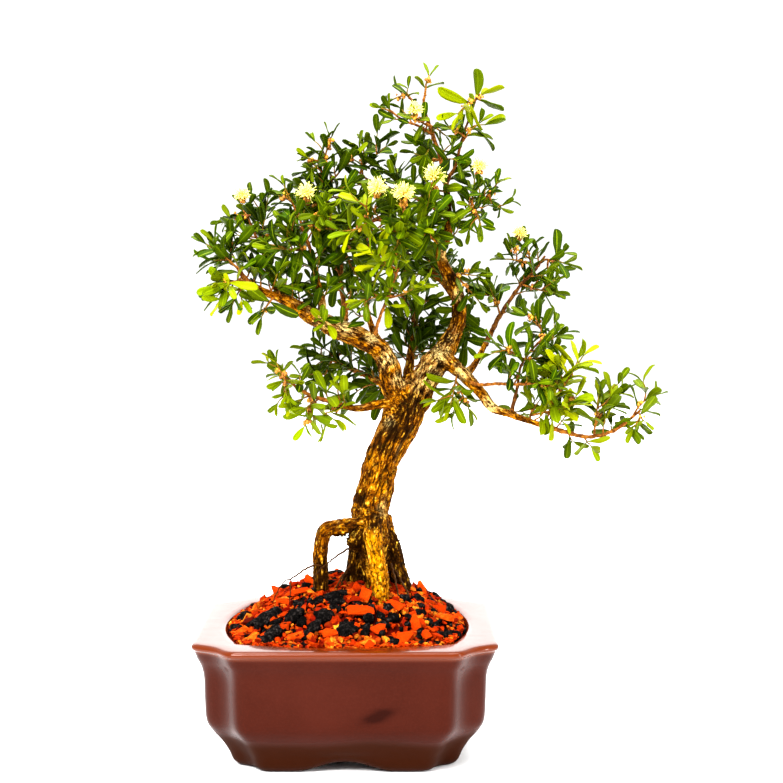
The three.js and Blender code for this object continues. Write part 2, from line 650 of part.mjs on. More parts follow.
// Grows every spray: the shoots come first, then each leaf where it meets nothing else
function makeSprays(treeRoom) {
  const grown = sprays.map((spray, number) => {
    const shoots = shootsOf(spray, number);
    return { name: spray.name, shoots, shootRooms: shoots.map(shootRoom), leaves: [], leafRooms: [] };
  });

  function place(owner, leaf) {
    const own = owner.shoots.indexOf(leaf.shoot);
    const others = grown.filter((other) => other !== owner);
    const mates = owner.leaves.filter((other) => other.root !== leaf.root);
    const obstacles = [
      treeRoom,
      ...others.flatMap((other) => [...other.shootRooms, ...other.leafRooms]),
      ...mates.map((other) => other.solid),
      ...owner.shootRooms.filter((_, k) => k !== own),
    ];
    for (const scale of leafScales) {
      for (const [turnStep, spreadStep] of poses) {
        const shape = posed(leaf, turnStep, spreadStep, scale);
        const solid = blade(shape);
        if (!obstacles.some((obstacle) => crosses(solid, obstacle))) {
          return { ...leaf, shape, solid };
        }
      }
    }
    return null;
  }

  for (const owner of grown) {
    for (const leaf of owner.shoots.flatMap(leavesOf)) {
      const placed = place(owner, leaf);
      if (placed) {
        owner.leaves.push(placed);
        owner.leafRooms.push(blade(placed.shape, gap));
      }
    }
  }

  return grown.map((owner) => {
    const own = (shoot) => owner.leaves.filter((leaf) => leaf.shoot === shoot);
    const whole = joinAll(owner.shoots.map((shoot) => leafyShoot(shoot, own(shoot))));
    return {
      name: owner.name,
      solid: largestBody(whole.subtract(treeRoom)),
      room: joinAll([...owner.shootRooms, ...owner.leafRooms]),
    };
  });
}

// Blooms: round tufts of stamens, each at the tip of a shoot

const blooms = [
  { name: 'Outer', at: [-66, -6, 353], size: 4.6 },
  { name: 'Left', at: [-25, -16, 354], size: 5.6 },
  { name: 'Front', at: [20, -47, 356], size: 6.2 },
  { name: 'Middle', at: [36, -42, 353], size: 6.6 },
  { name: 'Crown', at: [55, -20, 364], size: 7 },
  { name: 'Right', at: [84, -5, 371], size: 4.8 },
  { name: 'Apex', at: [43, -16, 406], size: 4.8 },
  { name: 'Riser', at: [112, 24, 329], size: 4.4 },
];

// A spiky ball: a stamen stands on each face of a small icosahedron
function makeBloom({ at, size }, rooms) {
  const centre = new THREE.Vector3(...at);
  const ball = new THREE.IcosahedronGeometry(size * 0.5, 0).attributes.position;
  const places = [];
  const point = new THREE.Vector3();
  for (let face = 0; face < ball.count; face += 3) {
    const corners = [0, 1, 2].map((k) => new THREE.Vector3().fromBufferAttribute(ball, face + k));
    const reach = size * (0.85 + 0.3 * chance(face + size));
    point.copy(corners[0]).add(corners[1]).add(corners[2]).setLength(reach);
    for (let k = 0; k < 3; k += 1) {
      places.push(...corners[k].toArray(), ...corners[(k + 1) % 3].toArray(), ...point.toArray());
    }
  }
  const geometry = new THREE.BufferGeometry();
  geometry.setAttribute('position', new THREE.BufferAttribute(new Float32Array(places), 3));
  geometry.translate(centre.x, centre.y, centre.z);
  let bloom = solidOf(geometry);
  for (const room of rooms) {
    if (crosses(bloom, room)) {
      bloom = bloom.subtract(room);
    }
  }
  return largestBody(bloom);
}

// Putting the bonsai together

const looks = {
  pot: { color: 0x76322a, roughness: 0.28, metalness: 0 },
  screen: { color: 0x2a2c2b, roughness: 0.6, metalness: 0 },
  soil: { color: 0xd9531c, roughness: 0.9, metalness: 0 },
  bark: { color: 0xb57a2c, roughness: 0.85, metalness: 0 },
  leaf: { color: 0x4c7a12, roughness: 0.4, metalness: 0 },
  youngLeaf: { color: 0x9bb521, roughness: 0.4, metalness: 0 },
  bloom: { color: 0xf2e28c, roughness: 0.7, metalness: 0 },
};

const youngSprays = [
  'leftLow', 'frontTip', 'brightUpper', 'brightLower', 'lowLeftHang', 'apexRightTip', 'leaderTip',
];

const tree = largestBody(makeTree(0));
const treeRoom = makeTree(gap);
const screen = makeScreen();
const chips = Array.from({ length: chipCount }, (_, number) => makeChip(number));
const screenSpace = new THREE.BoxGeometry(screenSize + 2 * gap, screenSize + 2 * gap, 4);
const screenRoom = solidOf(screenSpace.translate(0, 0, potFloor - plantBase));
const soil = largestBody(joinAll([makeMound(), ...chips]).subtract(treeRoom).subtract(screenRoom));
const foliage = makeSprays(treeRoom);
const rooms = [treeRoom, ...foliage.map((spray) => spray.room)];

const bonsai = new THREE.Group();
bonsai.add(meshOf('pot', makePot(), looks.pot));
bonsai.add(meshOf('drain_screen', screen, looks.screen));
bonsai.add(meshOf('soil', soil, looks.soil));
bonsai.add(meshOf('tree', tree, looks.bark));
for (const spray of foliage) {
  const look = youngSprays.includes(spray.name) ? looks.youngLeaf : looks.leaf;
  bonsai.add(meshOf(`spray_${spray.name}`, spray.solid, look));
}
for (const bloom of blooms) {
  bonsai.add(meshOf(`bloom_${bloom.name}`, makeBloom(bloom, rooms), looks.bloom));
}

const box = new THREE.Box3().setFromObject(bonsai);
bonsai.position.set(-(box.min.x + box.max.x) / 2, -(box.min.y + box.max.y) / 2, -box.min.z);

export default bonsai;
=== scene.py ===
import math

import bmesh
import bpy
import numpy as np
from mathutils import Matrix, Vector, kdtree, noise


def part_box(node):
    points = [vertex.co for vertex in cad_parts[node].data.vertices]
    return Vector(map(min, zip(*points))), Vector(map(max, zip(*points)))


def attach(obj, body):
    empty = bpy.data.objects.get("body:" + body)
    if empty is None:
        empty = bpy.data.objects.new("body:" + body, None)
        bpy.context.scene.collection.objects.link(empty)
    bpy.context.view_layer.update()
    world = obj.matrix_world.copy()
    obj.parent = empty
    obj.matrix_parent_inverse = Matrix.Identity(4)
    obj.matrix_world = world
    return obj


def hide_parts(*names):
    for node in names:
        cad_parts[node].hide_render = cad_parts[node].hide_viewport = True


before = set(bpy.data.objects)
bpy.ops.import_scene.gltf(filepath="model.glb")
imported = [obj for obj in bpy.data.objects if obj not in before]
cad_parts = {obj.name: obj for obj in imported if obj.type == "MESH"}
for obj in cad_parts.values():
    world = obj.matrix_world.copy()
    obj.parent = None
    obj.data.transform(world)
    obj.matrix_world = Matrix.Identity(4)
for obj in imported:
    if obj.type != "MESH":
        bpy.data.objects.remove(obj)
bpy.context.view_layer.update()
scene = bpy.context.scene
noise.seed_set(5)

# The plant is modelled in millimetres from the middle of the pot, plantBase above its feet, then moved
# to the frame
mm = 0.001
plantBase = 2.2
potLow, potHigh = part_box("pot")
potCentre = np.array([(potLow.x + potHigh.x) / 2, (potLow.y + potHigh.y) / 2, potLow.z + plantBase * mm])
goldenAngle = 2.39996


def toFrame(points):
    return potCentre + np.asarray(points, float) * mm


# Small tools for shapes

# A fixed number from 0 to 1 for each seed
def chance(seed):
    wave = math.sin(seed * 12.9898 + 4.1414) * 43758.5453
    return wave - math.floor(wave)


def unit(vectors):
    vectors = np.asarray(vectors, float)
    return vectors / np.maximum(np.linalg.norm(vectors, axis=-1, keepdims=True), 1e-12)


def smoothStep(low, high, value):
    share = np.clip((np.asarray(value, float) - low) / (high - low), 0, 1)
    return share * share * (3 - 2 * share)


# How near each point is to a place, from 1 there down to 0 far away
def nearness(points, place, radius):
    return np.exp(-(np.linalg.norm(points - place, axis=1) / radius) ** 2)


# A direction square to stem, turned around it from the side
def outFrom(side, across, turn):
    return side * math.cos(turn) + across * math.sin(turn)


def turned(angle):
    cos, sin = math.cos(angle), math.sin(angle)
    return np.array([[cos, -sin, 0], [sin, cos, 0], [0, 0, 1]])


def tipped(angle):
    cos, sin = math.cos(angle), math.sin(angle)
    return np.array([[1, 0, 0], [0, cos, -sin], [0, sin, cos]])


def randomTurn(rng, tilt):
    turn, lean, about = rng.uniform(0, 2 * math.pi), rng.normal(0, tilt), rng.uniform(0, 2 * math.pi)
    return turned(about) @ tipped(lean) @ turned(turn - about)


# A heap collects the points, faces, material numbers and colour marks of one piece
def newHeap():
    return {"points": [], "faces": [], "looks": [], "tones": [], "count": 0}


def addTo(heap, points, faceGroups, look=0, tone=(0.5, 0.5, 0.5, 1)):
    for group in faceGroups:
        heap["faces"].append(np.asarray(group) + heap["count"])
        heap["looks"].append(np.full(len(group), look))
    heap["points"].append(points)
    heap["tones"].append(np.broadcast_to(np.asarray(tone, float), (len(points), 4)))
    heap["count"] += len(points)


def meshFrom(name, heap, scale=toFrame):
    points = scale(np.vstack(heap["points"]))
    sizes = np.concatenate([np.full(len(group), group.shape[1]) for group in heap["faces"]])
    corners = np.concatenate([group.ravel() for group in heap["faces"]])
    mesh = bpy.data.meshes.new(name)
    mesh.vertices.add(len(points))
    mesh.vertices.foreach_set("co", points.ravel())
    mesh.loops.add(len(corners))
    mesh.loops.foreach_set("vertex_index", corners)
    mesh.polygons.add(len(sizes))
    mesh.polygons.foreach_set("loop_start", np.concatenate([[0], np.cumsum(sizes)[:-1]]))
    mesh.polygons.foreach_set("material_index", np.concatenate(heap["looks"]))
    mesh.update(calc_edges=True)
    mesh.validate()
    return mesh


def markPoints(mesh, name, kind, field, values):
    mesh.attributes.new(name, kind, "POINT").data.foreach_set(field, np.asarray(values, float).ravel())


def addPiece(name, mesh, materials, slot, replaced=(), smooth=True, creaseDegrees=None):
    mesh.polygons.foreach_set("use_smooth", np.full(len(mesh.polygons), smooth))
    if creaseDegrees is not None:
        mesh.set_sharp_from_angle(angle=math.radians(creaseDegrees))
    for material in materials:
        mesh.materials.append(material)
    piece = bpy.data.objects.new(name, mesh)
    scene.collection.objects.link(piece)
    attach(piece, "root")
    if replaced:
        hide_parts(*replaced)


def heapPiece(name, heap, *rest, **choices):
    mesh = meshFrom(name, heap)
    markPoints(mesh, "tone", "FLOAT_COLOR", "color", np.vstack(heap["tones"]))
    addPiece(name, mesh, *rest, **choices)


# Points on a smooth path through the given points, for shares from 0 to 1 of the whole
def pathPoints(path, shares):
    points = np.asarray(path, float)[:, :3]
    last = len(points) - 1
    place = np.clip(np.atleast_1d(shares), 0, 1) * last
    start = np.minimum(np.floor(place).astype(int), last - 1)
    w = (place - start)[:, None]
    padded = np.vstack([2 * points[0] - points[1], points, 2 * points[-1] - points[-2]])
    a, b, c, d = (padded[start + step] for step in range(4))
    square, cube = 2 * a - 5 * b + 4 * c - d, 3 * (b - c) + d - a
    return 0.5 * (2 * b + (c - a) * w + square * w ** 2 + cube * w ** 3)


def limbSamples(path, step):
    points, radii = np.split(np.asarray(path, float), [3], axis=1)
    chord = np.linalg.norm(np.diff(points, axis=0), axis=1).sum()
    shares = np.linspace(0, 1, max(6, int(chord / step)))
    return pathPoints(path, shares), np.interp(shares * (len(radii) - 1), np.arange(len(radii)), radii[:, 0])


# Frames along a line of points, carried on from ring to ring without twist
def framesAlong(centres, firstSide=(0, 1, 0)):
    along = unit(np.gradient(centres, axis=0))
    side = np.array(firstSide, float)
    sides = np.zeros_like(along)
    for ring, direction in enumerate(along):
        side = unit(side - direction * side.dot(direction))
        sides[ring] = side
    return along, sides, np.cross(along, sides)


def ringQuads(rings, count, closed=False):
    corner = np.arange(rings * count).reshape(rings, count)
    beside = np.roll(corner, -1, axis=1)
    quads = np.stack([corner, beside, np.roll(beside, -1, axis=0), np.roll(corner, -1, axis=0)], -1)
    return quads[: rings if closed else rings - 1].reshape(-1, 4)


def cappedRings(rings, count):
    return [ringQuads(rings, count), [np.arange(count)[::-1]], [np.arange(count) + (rings - 1) * count]]


# A round stem along the centres, with a rounded tip
def tube(centres, radii, count):
    along, side, across = framesAlong(centres, (0.13, 1, 0.21))
    centres = np.vstack([centres, centres[-1] + along[-1] * radii[-1] * 0.7])
    radii = np.append(radii, radii[-1] * 0.35)[:, None, None]
    side, across = (np.vstack([rows, rows[-1]])[:, None] for rows in (side, across))
    turn = (np.arange(count) * 2 * math.pi / count)[None, :, None]
    points = centres[:, None] + (np.cos(turn) * side + np.sin(turn) * across) * radii
    return points.reshape(-1, 3), cappedRings(len(centres), count)


# Materials: a socket gets a link, a number or a colour

def feed(socket, value):
    if isinstance(value, bpy.types.NodeSocket):
        socket.id_data.links.new(value, socket)
    else:
        socket.default_value = (*value, 1) if socket.type == "RGBA" else value


def addNode(tree, kind, **values):
    node = tree.nodes.new(kind)
    node.location = (220 * (len(tree.nodes) % 8) - 1900, 260 * (len(tree.nodes) // 8) - 900)
    for key, value in values.items():
        if hasattr(node, key):
            setattr(node, key, value)
        else:
            feed(node.inputs[key.replace("_", " ")], value)
    return node


def newMaterial(name):
    material = bpy.data.materials.new(name)
    material.use_nodes = True
    return material, material.node_tree


def mathOn(operation, *values, clamp=False):
    tree = next(value.id_data for value in values if isinstance(value, bpy.types.NodeSocket))
    node = addNode(tree, "ShaderNodeMath", operation=operation, use_clamp=clamp)
    for socket, value in zip(node.inputs, values):
        feed(socket, value)
    return node.outputs[0]


def times(first, second, clamp=False):
    return mathOn("MULTIPLY", first, second, clamp=clamp)


def between(value, low, high):
    node = addNode(value.id_data, "ShaderNodeMapRange", interpolation_type="SMOOTHSTEP", Value=value,
                   From_Min=low, From_Max=high)
    return node.outputs["Result"]


# Colours laid over one another, each through its mask
def layered(colour, *coats):
    for mask, over in coats:
        mix = addNode(mask.id_data, "ShaderNodeMix", data_type="RGBA")
        share, under, above = mix.inputs[0], mix.inputs[6], mix.inputs[7]
        feed(share, mask)
        feed(under, colour)
        feed(above, over)
        colour = mix.outputs[2]
    return colour


# The colour, the shine and the bumps of a material, each bump with its strength and distance
def finish(material, colour, shine, heights=(), bumps=()):
    tree = material.node_tree
    inputs = tree.nodes["Principled BSDF"].inputs
    for name, value in {"Base Color": colour, **shine}.items():
        feed(inputs[name], value)
    for height, (strength, distance) in zip(heights, bumps):
        bump = addNode(tree, "ShaderNodeBump", Strength=strength, Distance=distance, Height=height)
        if inputs["Normal"].is_linked:
            feed(bump.inputs["Normal"], inputs["Normal"].links[0].from_socket)
        feed(inputs["Normal"], bump.outputs["Normal"])
    return material


def toneMarks(tree):
    attribute = addNode(tree, "ShaderNodeAttribute", attribute_name="tone")
    split = addNode(tree, "ShaderNodeSeparateColor", Color=attribute.outputs["Color"])
    return *split.outputs, attribute.outputs["Alpha"]


grainDetail = 5.0


# Fine uneven grain, used by every natural surface and the glaze: a mask and a height
def buildGrainGroup():
    group = bpy.data.node_groups.new("uneven grain", "ShaderNodeTree")
    for name in ("Size", "Low", "High", "Roughness"):
        group.interface.new_socket(name, in_out="INPUT", socket_type="NodeSocketFloat")
    for name in ("Mask", "Height"):
        group.interface.new_socket(name, in_out="OUTPUT", socket_type="NodeSocketFloat")
    inside = addNode(group, "NodeGroupInput").outputs
    place = addNode(group, "ShaderNodeTexCoord").outputs["Object"]
    texture = addNode(group, "ShaderNodeTexNoise", Detail=grainDetail, Vector=place,
                      Scale=inside["Size"], Roughness=inside["Roughness"])
    mask = between(texture.outputs["Fac"], inside["Low"], inside["High"])
    addNode(group, "NodeGroupOutput", Mask=mask, Height=texture.outputs["Fac"])
    return group


grainGroup = buildGrainGroup()


def grain(tree, size, low=0.35, high=0.65, roughness=0.55):
    node = addNode(tree, "ShaderNodeGroup", node_tree=grainGroup, Size=size, Low=low, High=high,
                   Roughness=roughness)
    return node.outputs["Mask"], node.outputs["Height"]


print("tools ready")

# Pot

pot = {
    "half": 94.5, "opening": 77.5, "cornerCut": 25.7, "cornerDent": 2.4, "cornerSoftness": 3.5,
    "squareness": 0.56,
    "wall": [
        (0, 66.5), (3.2, 70.2), (10.2, 73.2), (17.7, 77.6), (24.7, 82.9), (31.7, 86.2), (45, 87),
        (58, 87.4), (65, 88.8), (70, 91), (74.2, 92.6), (75.4, 93),
    ],
    "rim": [
        (75.8, 93.2), (76.3, 93.9), (77, 94.4), (78, 94.5), (78.9, 94.2), (79.6, 93.5), (80, 92.5),
        (80.2, 91), (80.2, 87), (80.1, 82), (79.8, 79.2), (79.3, 78.1), (78.4, 77.6),
    ],
    "inside": [(76, 76.5), (63, 75.5), (50, 74.5), (38, 71.5), (26, 68.5), (18, 63.5), (12.2, 59.5)],
    "around": 232, "footHeight": 6.2, "archHalf": 30, "footFade": 15, "recessHalf": 47, "drainRadius": 9,
    "glaze": (0.037, 0.0066, 0.0032), "glazeLight": (0.046, 0.009, 0.0048),
    "glazeDark": (0.027, 0.0044, 0.0018),
    # lip: a lighter orange band on the rim, partly glaze colour and partly painted highlight
    "lip": (0.085, 0.0135, 0.0008), "foot": (0.022, 0.0042, 0.0001), "smear": (0.012, 0.0012, 0.0002),
    "roughness": 0.22,
    "cornerLead": 3, "cornerEase": 1.2, "rimOutside": 85, "wallRings": 41, "lowestWall": 0.5,
    "footRing": 64.6,
    "clouds": (22, 0.2, 0.85), "specks": (900, 0.4, 0.75), "waves": (40,), "speckShare": 0.35,
    "smearShare": 1.9, "smearPlace": (20.5, 39.6), "smearLean": (0.95, 0.3), "smearSize": (9, 2.8),
    "footBand": (18, 25), "bandRipple": 5, "rippleSize": 0.03, "lipBand": (73.5, 76.4), "lipInside": 70,
    "footRoughness": 0.4, "coat": 0.018, "footCoat": -0.014, "lipCoat": 0.34, "creaseDegrees": 38,
    "shine": {"Specular IOR Level": 0.08, "Specular Tint": (1, 0.5, 0.42), "Coat Roughness": 0.06},
    "bumps": ((0.15, 0.0015), (0.1, 0.0003)),
}


def potOutline(half):
    cut = pot["cornerCut"] * half / pot["half"]
    soft = pot["cornerSoftness"]
    middle = half - cut / 2 - pot["cornerDent"]
    straight = half - cut - soft
    early, eased, turn = straight - pot["cornerLead"], half - pot["cornerEase"], half - cut + soft * 0.6
    corner = np.array([
        (half, 0), (half, early), (half, straight), (eased, turn), (middle, middle), (turn, eased),
        (straight, half), (early, half),
    ])
    return np.vstack([corner @ turned(-quarter * math.pi / 2)[:2, :2] for quarter in range(4)])


# Corners cut twice round them off, and even steps around the rim share out the points
def outlineWeights(count):
    outline = potOutline(pot["half"])
    weights = np.eye(len(outline))
    for _ in range(2):
        following = np.roll(weights, -1, axis=0)
        halves = 0.75 * weights + 0.25 * following, 0.25 * weights + 0.75 * following
        weights = np.stack(halves, 1).reshape(-1, len(outline))
    rounded = weights @ outline
    steps = np.linalg.norm(np.roll(rounded, -1, axis=0) - rounded, axis=1)
    travelled = np.concatenate([[0], np.cumsum(steps)])
    wanted = np.arange(count) * travelled[-1] / count
    start = np.searchsorted(travelled, wanted, side="right") - 1
    share = ((wanted - travelled[start]) / steps[start])[:, None]
    return weights[start] * (1 - share) + weights[(start + 1) % len(weights)] * share


potWeights = outlineWeights(pot["around"])


def wallRing(half):
    return potWeights @ potOutline(half)


rimAngles = np.arctan2(*wallRing(pot["half"]).T[::-1])


def openingReach(half, angle):
    flat = np.maximum(np.abs(np.cos(angle)), np.abs(np.sin(angle)))
    return half / (pot["squareness"] * flat + 1 - pot["squareness"])


def ringAt(reach, angles=rimAngles):
    return np.stack([reach * np.cos(angles), reach * np.sin(angles)], 1)


def openingRing(half, angles=rimAngles):
    return ringAt(openingReach(half, angles), angles)


def glazeMaterial():
    material, tree = newMaterial("brown glaze")
    foot, lip, smear, _ = toneMarks(tree)
    cloud, _ = grain(tree, *pot["clouds"])
    speck, fine = grain(tree, *pot["specks"])
    _, wavy = grain(tree, *pot["waves"])
    colour = layered(
        pot["glazeDark"], (cloud, pot["glaze"]), (times(speck, pot["speckShare"]), pot["glazeLight"]),
        # The lip mask lays the lighter orange over the rim: partly glaze colour, partly painted highlight
        (times(smear, pot["smearShare"], clamp=True), pot["smear"]), (lip, pot["lip"]), (foot, pot["foot"]))
    roughness = mathOn("MULTIPLY_ADD", foot, pot["footRoughness"], pot["roughness"])
    bodyCoat = mathOn("MULTIPLY_ADD", foot, pot["footCoat"], pot["coat"])
    coat = mathOn("MULTIPLY_ADD", lip, pot["lipCoat"], bodyCoat)
    shine = {"Roughness": roughness, "Coat Weight": coat, **pot["shine"]}
    return finish(material, colour, shine, (wavy, fine), pot["bumps"])


def archAt(ring):
    nearest = np.abs(ring).min(axis=1)
    return pot["footHeight"] * smoothStep(pot["archHalf"], 2, nearest)


# Rings from the drain hole out under the floor, up the wall, over the rim and down the inside
def potRings():
    square = ringAt(pot["recessHalf"] / np.maximum(np.abs(np.cos(rimAngles)), np.abs(np.sin(rimAngles))))
    drain = ringAt(pot["drainRadius"])
    outer = wallRing(pot["footRing"])
    rings = [
        (drain, pot["inside"][-1][0]), (drain, pot["footHeight"]), (square, pot["footHeight"]),
        (square, np.minimum(archAt(square) + 0.01, pot["footHeight"])), (outer, archAt(outer)),
    ]
    wall = pathPoints([(z, half, 0) for z, half in pot["wall"]], np.linspace(0, 1, pot["wallRings"]))
    fade = pot["footFade"]
    for z, half, _ in wall:
        ring = wallRing(min(half, pot["half"]))
        lifted = archAt(ring) + (z or pot["lowestWall"]) * (fade - archAt(ring)) / fade
        rings.append((ring, np.where(z < fade, lifted, z)))
    for z, half in pot["rim"]:
        rings.append((wallRing(half) if half > pot["rimOutside"] else openingRing(half), z))
    for z, half in pot["inside"]:
        rings.append((openingRing(half), z))
    return [np.column_stack([ring, np.broadcast_to(z, len(ring))]) for ring, z in rings]


def makePot():
    rings = potRings()
    points = np.vstack(rings)
    x, y, z = points.T
    ripple = [noise.noise(Vector((*spot, 2.0))) for spot in points[:, :2] * pot["rippleSize"]]
    low, high = (edge + pot["bandRipple"] * np.array(ripple) for edge in pot["footBand"])
    footBand = smoothStep(high, low, z)
    # The lip band takes the lighter orange: partly glaze colour, partly painted highlight along the rounded
    # lip
    lip = smoothStep(*pot["lipBand"], z) * (np.hypot(x, y) > pot["lipInside"])
    aside, over = x - pot["smearPlace"][0], z - pot["smearPlace"][1]
    straight, slanted = pot["smearLean"]
    length, width = pot["smearSize"]
    along, above = aside * straight + over * slanted, over * straight - aside * slanted
    smear = np.exp(-(along / length) ** 2 - (above / width) ** 2) * (y < 0)
    heap = newHeap()
    tone = np.stack([footBand, lip, smear, np.ones(len(points))], 1)
    addTo(heap, points - (0, 0, plantBase), [ringQuads(len(rings), pot["around"], closed=True)], tone=tone)
    crease = pot["creaseDegrees"]
    heapPiece("glazed_pot", heap, [glazeMaterial()], "pot_glaze", ["pot"], creaseDegrees=crease)


makePot()
print("pot made")

meshScreen = {
    "dark": (0.014, 0.016, 0.015), "light": (0.03, 0.033, 0.031), "grain": (700,),
    "shine": {"Roughness": 0.55}, "bumps": ((0.3, 0.0003),),
}


def screenMaterial():
    material, tree = newMaterial("moulded mesh")
    mask, height = grain(tree, *meshScreen["grain"])
    colour = layered(meshScreen["dark"], (mask, meshScreen["light"]))
    return finish(material, colour, meshScreen["shine"], (height,), meshScreen["bumps"])


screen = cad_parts["drain_screen"]
screen.data.materials.clear()
screen.data.materials.append(screenMaterial())

# Soil

soil = {
    "edgeHeight": 75.5, "topHeight": 103.4, "peak": (4, 16), "spread": 83.5, "falloff": 2.1, "shoulder": 4,
    "chips": 1150, "chipLength": (4.5, 11), "lumps": 440, "lumpSize": (2.0, 5.2), "fines": 1300,
    "edgeFines": 700,
    "bigChips": [
        # x, y, length, width, lift, turn, lean
        (9, -40, 19, 13, 3.4, 0.15, 0.5), (12, -27, 9, 8, 5, 1.3, 1.2), (31, -30, 13, 7, 3, 2.4, 0.4),
        (-9, -58, 11, 8, 3.5, 0.1, 0.4), (-31, -56, 12, 7, 3, 0.2, 0.4), (43, -43, 7, 13, 4, 0.2, 0.9),
        (61, -20, 16, 6, 3.5, 2.9, 0.3), (49, -49, 12, 7, 3, 2.2, 0.3), (20, -53, 12, 8, 3, 1.0, 0.25),
        (36, -58, 13, 9, 3, 0.5, 0.5), (14, -66, 10, 7, 2.5, 2.9, 0.4), (70, -4, 11, 6, 3, 0.3, 0.5),
        (-30, -10, 13, 6, 3, 0.3, 0.5), (-40, -14, 12, 6, 3, 2.8, 0.4), (-23, 4, 12, 6, 4, 2.5, 0.8),
        (-58, -44, 11, 8, 2.5, 1.4, 0.3), (-66, -30, 10, 7, 2.5, 0.7, 0.3), (48, 12, 11, 6, 4, 1.8, 1.1),
        (-6, 40, 14, 8, 2.5, 1.7, 0.3), (34, 44, 13, 7, 2.5, 0.4, 0.2), (-46, 30, 14, 8, 2, 2.4, 0.3),
    ],
    "bigLumps": [
        # x, y, length and width in radii, turn
        (-51, -26, 14, 7.6, 0.5), (-32, -36, 7.6, 6.4, 0.3), (-14, -42, 8, 6.6, 0.2),
        (-19, -49, 6.4, 5.2, 0.8), (1, -54, 8, 7, 0.6), (-44, -46, 7.6, 6.4, 0.4), (-48, -54, 6, 4.8, 0.1),
        (-8, -24, 7, 5.4, 0.1), (-17, -25, 5.4, 4.4, 0.9), (-30, -24, 5, 4, 0.3), (-24, -54, 5, 4, 0.7),
        (27, -32, 5.4, 4.4, 0.2), (52, -32, 4.2, 3.8, 0.9), (37, -16, 5, 4.2, 0.4), (46, -7, 5, 4.2, 0.1),
        (66, 18, 6, 5, 0.2), (72, -22, 5.4, 4.6, 0.5), (-71, -16, 5, 4.4, 0.4), (-67, 4, 6, 5, 0.8),
        (-3, -18, 5, 4, 0.2), (-18, -8, 6, 5, 0.5), (30, -62, 4.6, 3.8, 0.9), (60, -42, 5, 4, 0.3),
        (-8, 34, 7, 5, 0.4), (24, 52, 7, 5.4, 0.9), (-44, 44, 7.6, 5.4, 0.2), (58, 38, 6.4, 5, 0.7),
        (-20, 62, 6, 5, 0.3),
    ],
    "orange": (0.42, 0.038, 0.0003), "red": (0.12, 0.003, 0.0002), "pale": (0.95, 0.4, 0.03),
    "burnt": (0.03, 0.002, 0.0002), "black": (0.0022, 0.0018, 0.0016), "grey": (0.09, 0.075, 0.068),
    "patches": (260, 0.35, 0.7), "crumbs": (1500, 0.3, 0.7, 0.7), "crumbShare": 0.5,
    "pores": (900, 0.42, 0.66, 0.7), "facets": (330, 0.42, 0.72, 0.6),
    "redPower": 1.7, "burntPower": 4.0, "palePower": 6.5,
    "chipShine": {"Roughness": 0.85, "Specular IOR Level": 0.03},
    "chipBumps": ((0.5, 0.0016), (0.5, 0.0006)),
    "lumpShine": {"Roughness": 0.8, "Specular IOR Level": 0.03}, "lumpBumps": ((1.0, 0.0018),),
    "around": 96, "bedRings": 26, "bedShares": (0.99, 0.02), "bedDepth": 2.2, "bedBumps": 1.3,
    "bedBumpSize": 0.16, "bedRise": 0.4, "bedFoot": 0.985,
    "wallGap": 0.6, "bedGap": 1.8, "chipGap": 5, "fineGap": 3.4, "edgeGap": 2.2, "lumpGap": 4.4,
    "lowest": 11.9, "wander": 1.6, "patchSize": 0.035, "noChipsAbove": 0.26, "noLumpsBelow": -0.12,
    "shards": 18, "shardForm": (0.5, 0.32, 0.2), "shardPoints": 15, "smallLumps": 10, "largeLumps": 8,
    "chipTilt": 0.6, "fineTilt": 0.7, "lumpTilt": 0.5,
    "chipLift": (-1.6, 1.9), "fineLift": (0.2, 1.9), "fineLength": (2, 4.4), "lumpLift": (-0.4, 1.2),
    "lumpCells": (1.3, 2.9, 4.3), "lumpMiddle": 0.84, "lumpSwell": 0.4, "lumpGrain": 0.13,
    "poreReach": 0.34, "poreDepth": 0.5,
}


def moundAt(x, y):
    out = np.minimum(1, np.hypot(x - soil["peak"][0], y - soil["peak"][1]) / soil["spread"])
    share = np.minimum(1, np.hypot(x, y) / openingReach(pot["opening"], np.arctan2(y, x)))
    fall = out + (1 - out) * share ** soil["shoulder"]
    return soil["edgeHeight"] + (soil["topHeight"] - soil["edgeHeight"]) * (1 - fall ** soil["falloff"])


def meshForm(shape):
    shape.verts.index_update()
    points = np.array([vert.co[:] for vert in shape.verts])
    faces = np.array([[vert.index for vert in face.verts] for face in shape.faces])
    shape.free()
    return points, faces


# Broken pieces of clay: hulls of scattered points, a few shapes used over and over
def shardShape(rng):
    cloud = bmesh.new()
    for _ in range(soil["shardPoints"]):
        point = rng.uniform(-1, 1, 3)
        point /= max(np.abs(point).max(), 0.35) / rng.uniform(0.8, 1)
        cloud.verts.new(point * soil["shardForm"])
    bmesh.ops.convex_hull(cloud, input=cloud.verts)
    bmesh.ops.delete(cloud, geom=[vert for vert in cloud.verts if not vert.link_faces], context="VERTS")
    bmesh.ops.triangulate(cloud, faces=cloud.faces)
    return meshForm(cloud)


# Porous lumps: balls pushed in and out by noise
def lumpShape(subdivisions, rng):
    ball = bmesh.new()
    bmesh.ops.create_icosphere(ball, subdivisions=subdivisions, radius=1)
    points, faces = meshForm(ball)
    shift = Vector(rng.uniform(0, 50, 3))
    push = []
    for spot in map(Vector, points):
        coarse, pore, fine = (spot * cells + shift for cells in soil["lumpCells"])
        surface = soil["lumpMiddle"] + soil["lumpSwell"] * noise.noise(coarse)
        surface += soil["lumpGrain"] * noise.noise(fine)
        hollow = max(0, soil["poreReach"] - noise.voronoi(pore)[0][0])
        push.append(surface - soil["poreDepth"] * hollow)
    return points * np.array(push)[:, None], faces


def onSlope(matrix, x, y, step=0.5):
    rise = moundAt(x - step, y) - moundAt(x + step, y), moundAt(x, y - step) - moundAt(x, y + step)
    up = unit((*rise, 1.0))
    right = unit(np.cross((0, 1, 0), up))
    return np.column_stack([right, np.cross(up, right), up]) @ matrix


